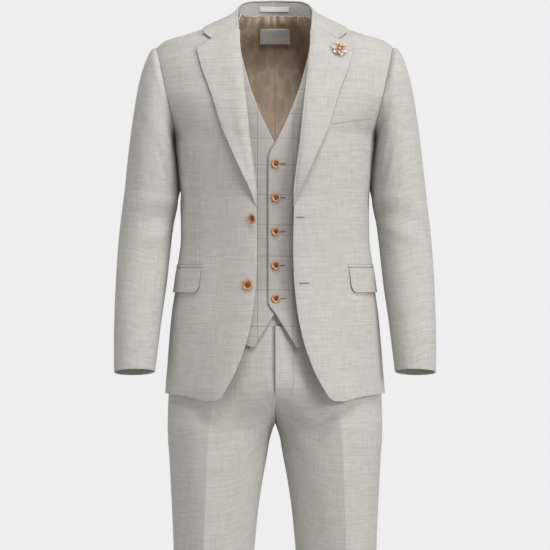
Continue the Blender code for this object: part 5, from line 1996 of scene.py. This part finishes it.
    def band(self) -> Points:
        """Grid of half the waistband."""
        down, share = np.meshgrid(shares(7, 38), shares(70, 480), indexing="ij")
        return self.form.at(180.0 * share, blend(self.band_top, self.band_low, down))

    def shield(self) -> Points:
        """Grid of the strip behind the fly opening."""
        rows = []
        left, right = self.shield_across
        for height in np.linspace(*self.shield_heights, 20):
            taper = smooth_step(self.shield_taper, self.shield_heights[1], height)
            narrow = self.shield_narrow * float(taper)
            front = self.row(float(height), False, np.linspace(0, 1, 9))
            x = np.linspace(left + narrow, right - narrow, 12)
            y = np.interp(np.abs(x), front[:, 0], front[:, 1]) + CLOTH + self.shield_depth
            rows.append(np.column_stack([x, y, np.full(len(x), height)]))
        return np.array(rows)

    def make(self) -> None:
        """Builds the legs, the waistband and the fly strip."""
        linen, inner = self.finishes.linen, self.finishes.plain_satin
        for side in Side:
            for name, behind in (("trouser_front", False), ("trouser_back", True)):
                Cut(f"{name}_{side.value}", side.placed(self.panel(behind, side)), linen,
                    linen).make()
            band = rolled(self.band(), 0.8, 1.4)
            Cut(f"waistband_{side.value}", side.placed(band), linen, inner, held="folded").make()
        Cut("fly_shield", self.shield(), linen, thickness=LIGHT_CLOTH, held="folded",
            rests_on=("trouser_front_left",)).make()


def cloth_frame(point: Points, normal: Points, turned: float = 0.0) -> Matrix:
    """Place on the cloth: across, upright and outward axes at a point.

    Args:
        point: The point, in millimetres.
        normal: Outward direction of the cloth there.
        turned: Degrees by which the piece is swung about the upright.

    Returns:
        Matrix from the piece's own axes to the scene, in metres.
    """
    outward = Matrix.Rotation(math.radians(turned), 3, "Z") @ Vector(normal)
    across = Vector((0, 0, 1)).cross(outward).normalized()
    upright = outward.cross(across)
    matrix = Matrix((across, upright, outward)).transposed().to_4x4()
    matrix.translation = Vector(point) * MM
    return matrix


def placed_in(piece: Piece, matrix: Matrix) -> Piece:
    """Moves a piece's mesh into place, its object staying at the origin."""
    piece.data.transform(matrix)
    piece.data.update()
    return piece


def threads(name: str, runs: Sequence[Points], radius: float,
            finish: Material, closed: bool = False) -> Piece:
    """Round threads along some lines.

    Args:
        name: Name of the piece.
        runs: A line of points for each thread, in millimetres.
        radius: Radius of the thread.
        finish: Its material.
        closed: Whether each thread runs back to its start.

    Returns:
        One mesh with all the threads.
    """
    curve = bpy.data.curves.new(name, "CURVE")
    curve.dimensions = "3D"
    curve.bevel_depth = radius * MM
    curve.bevel_resolution = 1
    curve.use_fill_caps = not closed
    for run in runs:
        spline = curve.splines.new("POLY")
        spline.points.add(len(run) - 1)
        spline.use_cyclic_u = closed
        for knot, place in zip(spline.points, run):
            knot.co = (*(np.asarray(place) * MM), 1.0)
    piece = bpy.data.objects.new(name, curve)
    bpy.context.scene.collection.objects.link(piece)
    pick(piece)
    bpy.ops.object.convert(target="MESH")
    piece = bpy.context.object
    piece.data.materials.append(finish)
    smoothed(piece, 60)
    return piece


@dataclass
class Buttons:
    """Turned horn buttons with four holes, sewn on with crossed thread."""

    finishes: Finishes
    body: JacketBody
    waistcoat: Waistcoat
    # Name, x, height as seen, radius, degrees turned
    jacket: tuple[tuple[str, float, float, float, float], ...] = (
        ("upper", -41.5, -395, 10.3, 38), ("lower", -51, -524, 10.3, 4))
    waistcoat_x: float = 2.0
    waistcoat_radius: float = 8.2
    # Turned section: share of the radius, height
    section: Line = (
        (0.40, 0.0), (0.70, 0.05), (0.88, 0.5), (0.98, 1.3), (1.0, 2.0), (0.96, 2.7), (0.88, 3.0),
        (0.80, 2.9), (0.72, 2.45), (0.62, 2.0), (0.40, 1.85), (0.20, 1.8))
    dish: float = 0.66
    hole_place: float = 0.21
    hole_radius: float = 0.105
    segments: int = 40
    thread_radius: float = 0.28
    thread_aside: float = 0.26
    thread_base: float = 1.55
    thread_arch: float = 0.75
    thread_cross: float = 0.12
    shank: tuple[float, ...] = (-2.2, -1.0, 0.3)
    shank_radius: float = 1.3

    def turned(self, name: str, radius: float) -> Piece:
        """Turns the body of a button about its axis, row by row.

        Args:
            name: Name of the piece.
            radius: Radius of its rim.

        Returns:
            The closed body, face up.
        """
        deselect_all()
        first = self.section[0]
        bpy.ops.mesh.primitive_circle_add(vertices=self.segments, radius=first[0] * radius * MM,
                                          fill_type="NGON")
        piece = bpy.context.object
        piece.name = piece.data.name = name
        bpy.ops.object.mode_set(mode="EDIT")
        bpy.ops.mesh.select_all(action="SELECT")
        for before, row in zip(self.section[:-1], self.section[1:]):
            size = row[0] / before[0]
            bpy.ops.mesh.extrude_region_move(
                TRANSFORM_OT_translate={"value": (0, 0, (row[1] - before[1]) * MM)})
            bpy.ops.transform.resize(value=(size, size, 1.0))
        bpy.ops.mesh.select_all(action="SELECT")
        bpy.ops.mesh.normals_make_consistent(inside=False)
        bpy.ops.object.mode_set(mode="OBJECT")
        return piece

    def drilled(self, piece: Piece, radius: float) -> Piece:
        """Cuts the four thread holes in a button."""
        drills = []
        for across, up in ((1, 1), (1, -1), (-1, 1), (-1, -1)):
            place = (across * self.hole_place * radius * MM, up * self.hole_place * radius * MM, 0)
            bpy.ops.mesh.primitive_cylinder_add(vertices=12, radius=self.hole_radius * radius * MM,
                                                depth=0.012, location=place)
            drills.append(bpy.context.object)
        drill = joined(drills, "drill")
        cut = piece.modifiers.new("holes", "BOOLEAN")
        cut.object = drill
        cut.operation = "DIFFERENCE"
        apply_modifiers(piece)
        bpy.data.objects.remove(drill, do_unlink=True)
        return piece

    def sewing(self, name: str, radius: float) -> Piece:
        """Crossed thread through the holes, and the thread shank under the button."""
        reach = self.hole_place * radius
        share = np.linspace(-1, 1, 7)
        runs = []
        for way in (1, -1):
            for aside in (-self.thread_aside, self.thread_aside):
                x = share * reach + aside
                y = way * share * reach - way * aside
                arch = self.thread_arch * np.sqrt(np.clip(1 - share ** 2, 0, 1))
                z = self.thread_base + arch + self.thread_cross * way
                runs.append(np.stack([x, y, z], axis=-1))
        thin = threads(name, runs, self.thread_radius, self.finishes.thread)
        down = np.array([(0, 0, height) for height in self.shank])
        shank = threads(name + "_shank", [down], self.shank_radius, self.finishes.thread)
        return joined([thin, shank], name)

    def button(self, node: str, radius: float, matrix: Matrix) -> None:
        """Makes one button in its place."""
        horn = self.drilled(self.turned(node + "_horn", radius), radius)
        horn.data.materials.clear()
        horn.data.materials.append(self.finishes.horn)
        horn.data.materials.append(self.finishes.dark_horn)
        for face in horn.data.polygons:
            place = face.center / MM
            inside = math.hypot(place.x, place.y) < self.dish * radius
            face.material_index = 1 if inside and place.z > 1.0 else 0
        smoothed(horn, 40)
        whole = joined([horn, self.sewing(node + "_thread", radius)], node + "_sewn")
        settle(placed_in(whole, matrix), "button_horn", (node,))

    def make(self) -> None:
        """Builds all seven buttons."""
        for name, x, height, radius, turned in self.jacket:
            across, level = true_line([(abs(x), height)], JACKET)[0]
            turn = float(JACKET.turn_of(across, level))
            lift = 0.5 + 0.85 * radius * math.sin(math.radians(turned))
            lift += float(self.body.lift(turn, level, Side.RIGHT) + open_lift(across, level))
            point = JACKET.lifted(-turn, level, lift)
            self.button(f"jacket_button_{name}", radius,
                        cloth_frame(point, JACKET.normal(-turn, level), -turned))
        form = self.waistcoat.form
        for index, height in enumerate(self.waistcoat.button_heights, start=1):
            across, level = true_line([(self.waistcoat_x, height)], form)[0]
            turn = float(form.turn_of(across, level))
            point = form.lifted(turn, level, self.waistcoat.left_lift(across, level) + 0.6)
            self.button(f"waistcoat_button_{index}", self.waistcoat_radius,
                        cloth_frame(point, form.normal(turn, level)))


@dataclass
class Needlework:
    """Worked buttonholes and the curved stitching of the fly."""

    finishes: Finishes
    body: JacketBody
    waistcoat: Waistcoat
    trousers: Trousers
    # As seen: x of the eye, x of the far end, height
    jacket_holes: tuple[tuple[float, float, float], ...] = ((40, 56, -392), (46, 66, -521))
    waistcoat_hole: Span = (4.0, 21.0)
    half_width: float = 0.95
    thread_radius: float = 0.45
    fly_x: float = 35.0
    fly_end_x: float = 2.0
    fly_top: float = -607.0
    fly_low: float = -753.0
    fly_turn: float = -712.0
    stitch: float = 2.6
    stitch_gap: float = 1.2
    stitch_rise: tuple[float, ...] = (0.05, 0.4, 0.05)
    stitch_radius: float = 0.42
    columns_near_fly: int = 20

    def outline(self, length: float, eye: bool) -> Points:
        """Closed line of a buttonhole about its slit: long and narrow, round at the eye."""
        angle = np.linspace(0, 2 * np.pi, 29)[:-1]
        x = length / 2 * np.cos(angle)
        wide = self.half_width * (1 + (0.75 * smooth_step(-0.55, -0.9, np.cos(angle)) if eye else 0))
        y = wide * np.sign(np.sin(angle)) * np.abs(np.sin(angle)) ** 0.6
        return np.stack([x, y, np.full(len(x), 0.35)], axis=-1)

    def hole(self, name: str, length: float, matrix: Matrix, eye: bool) -> Piece:
        """One buttonhole: a dark sheet of painted shade in its slit, and its ridge of thread.

        Args:
            name: Name of the piece.
            length: Length of the hole.
            matrix: Its place, the x axis running away from the eye.
            eye: Whether one end is widened to an eye.

        Returns:
            The piece in its place.
        """
        line = self.outline(length, eye)
        ridge = threads(name, [line], self.thread_radius, self.finishes.grey_thread, closed=True)
        deselect_all()
        # Flat dark sheet that fills the slit: painted shade of the opening
        bpy.ops.mesh.primitive_circle_add(vertices=len(line), radius=1.0, fill_type="NGON")
        slit = bpy.context.object
        for vertex, place in zip(slit.data.vertices, line):
            vertex.co = Vector(place * np.array([1, 1, 0.6])) * MM
        slit.data.materials.append(self.finishes.slit)
        return placed_in(joined([ridge, slit], name), matrix)

    def jacket(self) -> None:
        """Buttonholes of the jacket's left front."""
        holes = []
        for index, (eye_x, end_x, height) in enumerate(self.jacket_holes):
            middle = (eye_x + end_x) / 2
            across, level = true_line([(middle, height)], JACKET)[0]
            turn = float(JACKET.turn_of(across, level))
            lift = float(self.body.lift(turn, level, Side.LEFT))
            near, far, low, high = (
                JACKET.on(across + step, level + up, lift + float(open_lift(across + step, level + up)))
                for step, up in ((-6, 0), (6, 0), (0, -4), (0, 4)))
            normal = np.cross(far - near, high - low)
            matrix = cloth_frame((near + far) / 2, normal / np.linalg.norm(normal))
            holes.append(self.hole(f"jacket_hole_{index}", end_x - eye_x, matrix, True))
        settle(joined(holes, "jacket_buttonholes"), "suit_cloth")

    def vest(self) -> None:
        """Buttonholes of the waistcoat's left front."""
        form = self.waistcoat.form
        start, end = self.waistcoat_hole
        holes = []
        for index, height in enumerate(self.waistcoat.button_heights):
            across, level = true_line([((start + end) / 2, height)], form)[0]
            turn = float(form.turn_of(across, level))
            point = form.lifted(turn, level, self.waistcoat.left_lift(across, level))
            matrix = cloth_frame(point, form.normal(turn, level))
            holes.append(self.hole(f"waistcoat_hole_{index}", end - start, matrix, False))
        settle(joined(holes, "waistcoat_buttonholes"), "waistcoat_cloth")

    def fly(self) -> None:
        """Curved line of stitches that holds the fly."""
        path = [(self.fly_x, height) for height in np.linspace(self.fly_top, self.fly_turn, 40)]
        for angle in np.linspace(0, math.pi / 2, 24)[1:]:
            path.append((self.fly_end_x + (self.fly_x - self.fly_end_x) * math.cos(angle),
                         self.fly_turn + (self.fly_low - self.fly_turn) * math.sin(angle)))
        path = np.array(path)
        lengths = np.concatenate([[0], np.cumsum(np.linalg.norm(np.diff(path, axis=0), axis=1))])
        grid = self.trousers.panel(False, Side.LEFT)
        runs = []
        for start in np.arange(0, lengths[-1] - self.stitch, self.stitch + self.stitch_gap):
            places = start + np.array([0, 0.5, 1.0]) * self.stitch
            run = []
            for place, raised in zip(places, self.stitch_rise):
                x = float(np.interp(place, lengths, path[:, 0]))
                height = float(np.interp(place, lengths, path[:, 1]))
                row = int(np.abs(grid[:, 0, 2] - height).argmin())
                near = grid[row, :self.columns_near_fly]
                y = float(np.interp(x, near[:, 0], near[:, 1]))
                run.append((x, y - raised, height))
            runs.append(np.array(run))
        piece = threads("fly_stitches", runs, self.stitch_radius, self.finishes.grey_thread)
        settle(piece, "suit_cloth")

    def make(self) -> None:
        """Works all the buttonholes and stitches."""
        self.jacket()
        self.vest()
        self.fly()


@dataclass
class Flower:
    """Small cloth flower on the lapel: three rounds of cupped petals."""

    finishes: Finishes
    place: Span = (124.0, -68.0)
    # Petals, length, width, rise of the tip, turn of the first petal, height of the round
    rounds: Rows = (
        (6, 14.0, 12.0, 3.2, 8.0, 0.8), (6, 10.5, 9.0, 5.6, 38.0, 1.8), (4, 6.4, 6.4, 7.6, 15.0, 2.6))
    lapel_lift: float = 6.4
    cloth: float = 0.5
    heart_radius: float = 2.6
    heart_height: float = 3.2
    petal_share: float = 0.72
    square_share: float = 0.8

    def petal(self, name: str, petal: Sequence[float], turn: float, finish: Material) -> Piece:
        """One petal: a cupped leaf of cloth with a waved tip.

        Args:
            name: Name of the piece.
            petal: Row of the rounds table.
            turn: Degrees round the flower.
            finish: Its material.

        Returns:
            The petal about the flower's own axis.
        """
        _, length, width, rise, _, level = petal
        along_it, across = np.meshgrid(np.linspace(0, 1, 11), np.linspace(-1, 1, 9), indexing="ij")
        outline = width / 2 * np.sin(np.pi * np.clip(0.12 + 0.80 * along_it, 0, 1)) ** 0.7
        x = across * outline
        y = 1.0 + length * along_it * (1 - 0.12 * across ** 2)
        cup = 1.5 * across ** 2 * along_it
        wave = 0.5 * np.sin(3.1 * across + turn) * along_it ** 2
        z = level + rise * along_it ** 2 + cup + wave
        angle = math.radians(turn)
        points = np.stack([x * math.cos(angle) - y * math.sin(angle),
                           x * math.sin(angle) + y * math.cos(angle), z], axis=-1)
        leaf = Cut(name, points, finish, map_points=np.stack([x, y], axis=-1) * MM).grid_object()
        leaf.data.materials.append(finish)
        wall = leaf.modifiers.new("wall", "SOLIDIFY")
        wall.thickness = self.cloth * MM
        wall.offset = 0.0
        apply_modifiers(leaf)
        return leaf

    def make(self) -> None:
        """Builds the flower on the left lapel."""
        petals = []
        for index, petal in enumerate(self.rounds):
            finish = self.finishes.petal if index < 2 else self.finishes.inner_petal
            for number in range(int(petal[0])):
                turn = petal[4] + 360.0 * number / petal[0] + 7 * math.sin(3 * number + index)
                petals.append(self.petal(f"petal_{index}_{number}", petal, turn, finish))
        deselect_all()
        bpy.ops.mesh.primitive_uv_sphere_add(segments=16, ring_count=10,
                                             radius=self.heart_radius * MM,
                                             location=(0, 0, self.heart_height * MM))
        heart = bpy.context.object
        bpy.ops.object.transform_apply(location=True, rotation=True, scale=True)
        heart.data.uv_layers.active.name = "cloth"
        heart.data.materials.append(self.finishes.inner_petal)
        whole = joined([*petals, heart], "lapel_flower_petals")
        across, level = true_line([self.place], JACKET)[0]
        turn = float(JACKET.turn_of(across, level))
        point = JACKET.lifted(turn, level, self.lapel_lift)
        placed_in(whole, cloth_frame(point, JACKET.normal(turn, level)))
        smoothed(whole, 60)
        settle(whole, "flower_cloth", ("lapel_flower",))


@dataclass
class NeckPieces:
    """Hanger loop on the stand and the bare woven label on the lining."""

    finishes: Finishes
    collar: Collar
    waistcoat: Waistcoat
    loop_across: Span = (-30.5, 27.0)
    loop_heights: Span = (23.8, 13.4)
    loop_bow: float = 1.8
    label_across: Span = (-30.0, 30.0)
    label_heights: Span = (-16.5, -46.5)
    tape: float = 0.9
    label_clear: float = 4.0

    def stand_depth(self, x: float, height: float) -> float:
        """Depth of the stand's outer face behind a place."""
        grid = self.collar.stand(4.0)
        half = grid[:len(grid) // 2 + 1][::-1]
        depths, levels = [], []
        for column in range(half.shape[1]):
            depths.append(np.interp(abs(x), half[:, column, 0], half[:, column, 1]))
            levels.append(np.interp(abs(x), half[:, column, 0], half[:, column, 2]))
        return float(np.interp(height, levels[::-1], depths[::-1]))

    def loop(self) -> None:
        """Strip of tape that stands a little off the collar stand, sewn down at its ends."""
        across = shares(26, self.loop_across[1] - self.loop_across[0])
        down = shares(6, self.loop_heights[0] - self.loop_heights[1])
        rows = []
        for share_down in down:
            height = blend(*self.loop_heights, share_down)
            row = []
            for share in across:
                x = blend(*self.loop_across, share)
                bow = self.loop_bow * math.sin(math.pi * share) ** 0.5 * (0.4 + 0.6 * share_down)
                depth = self.stand_depth(x, height) - LIGHT_CLOTH - 0.5 - self.tape - bow
                row.append((x, depth, height))
            rows.append(row)
        Cut("hanger_loop", rolled(np.array(rows), 0.3, 0.6), self.finishes.tape,
            thickness=self.tape, held="folded", rests_on=("jacket_collar_stand",),
            slot="tape").make()

    def label(self) -> None:
        """Woven label, left bare."""
        width = self.label_across[1] - self.label_across[0]
        down, share = np.meshgrid(shares(14, 30), shares(26, width), indexing="ij")
        x = blend(*self.label_across, share)
        height = blend(*self.label_heights, down)
        inward = LIGHT_CLOTH + self.label_clear + self.tape
        points = self.waistcoat.form.on(x, height, -inward, behind=True)
        corner = np.maximum(np.abs(2 * share - 1), np.abs(2 * down - 1)) ** 10
        points[..., 1] += 0.5 * corner + 0.25 * np.sin(x / 9) * np.sin(height / 11)
        Cut("neck_label", rolled(points, 0.3, 0.6), self.finishes.label, thickness=self.tape,
            held="laid", rests_on=("waistcoat_back_left",), slot="label_cloth").make()

    def make(self) -> None:
        """Builds the loop and the label."""
        self.loop()
        self.label()


def studio_world() -> bpy.types.World:
    """Pale backdrop that the camera sees, and a weaker even light from all round.

    Returns:
        The world.
    """
    world = bpy.data.worlds.new("studio")
    world.use_nodes = True
    tree = world.node_tree
    seen = tree.nodes["Background"]
    seen.inputs["Color"].default_value = (0.855, 0.855, 0.855, 1)
    around = tree.nodes.new("ShaderNodeBackground")
    around.inputs["Color"].default_value = (1.0, 0.985, 0.965, 1)
    around.inputs["Strength"].default_value = 0.22
    rays = tree.nodes.new("ShaderNodeLightPath")
    mix = tree.nodes.new("ShaderNodeMixShader")
    tree.links.new(rays.outputs["Is Camera Ray"], mix.inputs["Fac"])
    tree.links.new(around.outputs["Background"], mix.inputs[1])
    tree.links.new(seen.outputs["Background"], mix.inputs[2])
    tree.links.new(mix.outputs["Shader"], tree.nodes["World Output"].inputs["Surface"])
    return world


def stage_and_camera() -> None:
    """Lays the pale floor, sets the soft lights and places the camera as the photograph has it."""
    deselect_all()
    bpy.ops.mesh.primitive_plane_add(size=7.0, location=(0, 0, FLOOR_LEVEL * MM))
    floor = bpy.context.object
    floor.name = "floor"
    bench = Bench("pale_floor", 0.9, 0.2)
    floor.data.materials.append(bench.coloured((0.72, 0.72, 0.72, 1)))
    bpy.context.scene.world = studio_world()
    bpy.context.scene.view_settings.view_transform = "Standard"
    for name, place, size, power in LIGHTS:
        lamp = bpy.data.lights.new(name, "AREA")
        lamp.size = size
        lamp.energy = power
        item = bpy.data.objects.new(name, lamp)
        bpy.context.scene.collection.objects.link(item)
        item.location = place
        aim = Vector(LIGHTS_AIM) - Vector(place)
        item.rotation_euler = aim.to_track_quat("-Z", "Y").to_euler()
    camera = bpy.data.cameras.new("camera")
    camera.sensor_width = SENSOR_WIDTH
    camera.lens = SENSOR_WIDTH * EYE_DISTANCE / PHOTO_WIDTH_AT_SUIT
    camera.clip_end = 50.0
    item = bpy.data.objects.new("camera", camera)
    bpy.context.scene.collection.objects.link(item)
    item.location = (0, -EYE_DISTANCE * MM, EYE_LEVEL * MM)
    item.rotation_euler = (math.pi / 2, 0, 0)
    bpy.context.scene.camera = item


def main() -> None:
    """Builds the suit in order and finishes the scene."""
    logging.basicConfig(level=logging.INFO, format="%(message)s")
    finishes = Finishes()
    body = JacketBody(finishes)
    body.make()
    Lapels(finishes).make()
    collar = Collar(finishes)
    collar.make()
    Sleeves(finishes).make()
    Pockets(finishes, body).make()
    waistcoat = Waistcoat(finishes)
    waistcoat.make()
    trousers = Trousers(finishes)
    trousers.make()
    Buttons(finishes, body, waistcoat).make()
    Needlework(finishes, body, waistcoat, trousers).make()
    Flower(finishes).make()
    NeckPieces(finishes, collar, waistcoat).make()
    stage_and_camera()


if __name__ == "__main__":
    main()
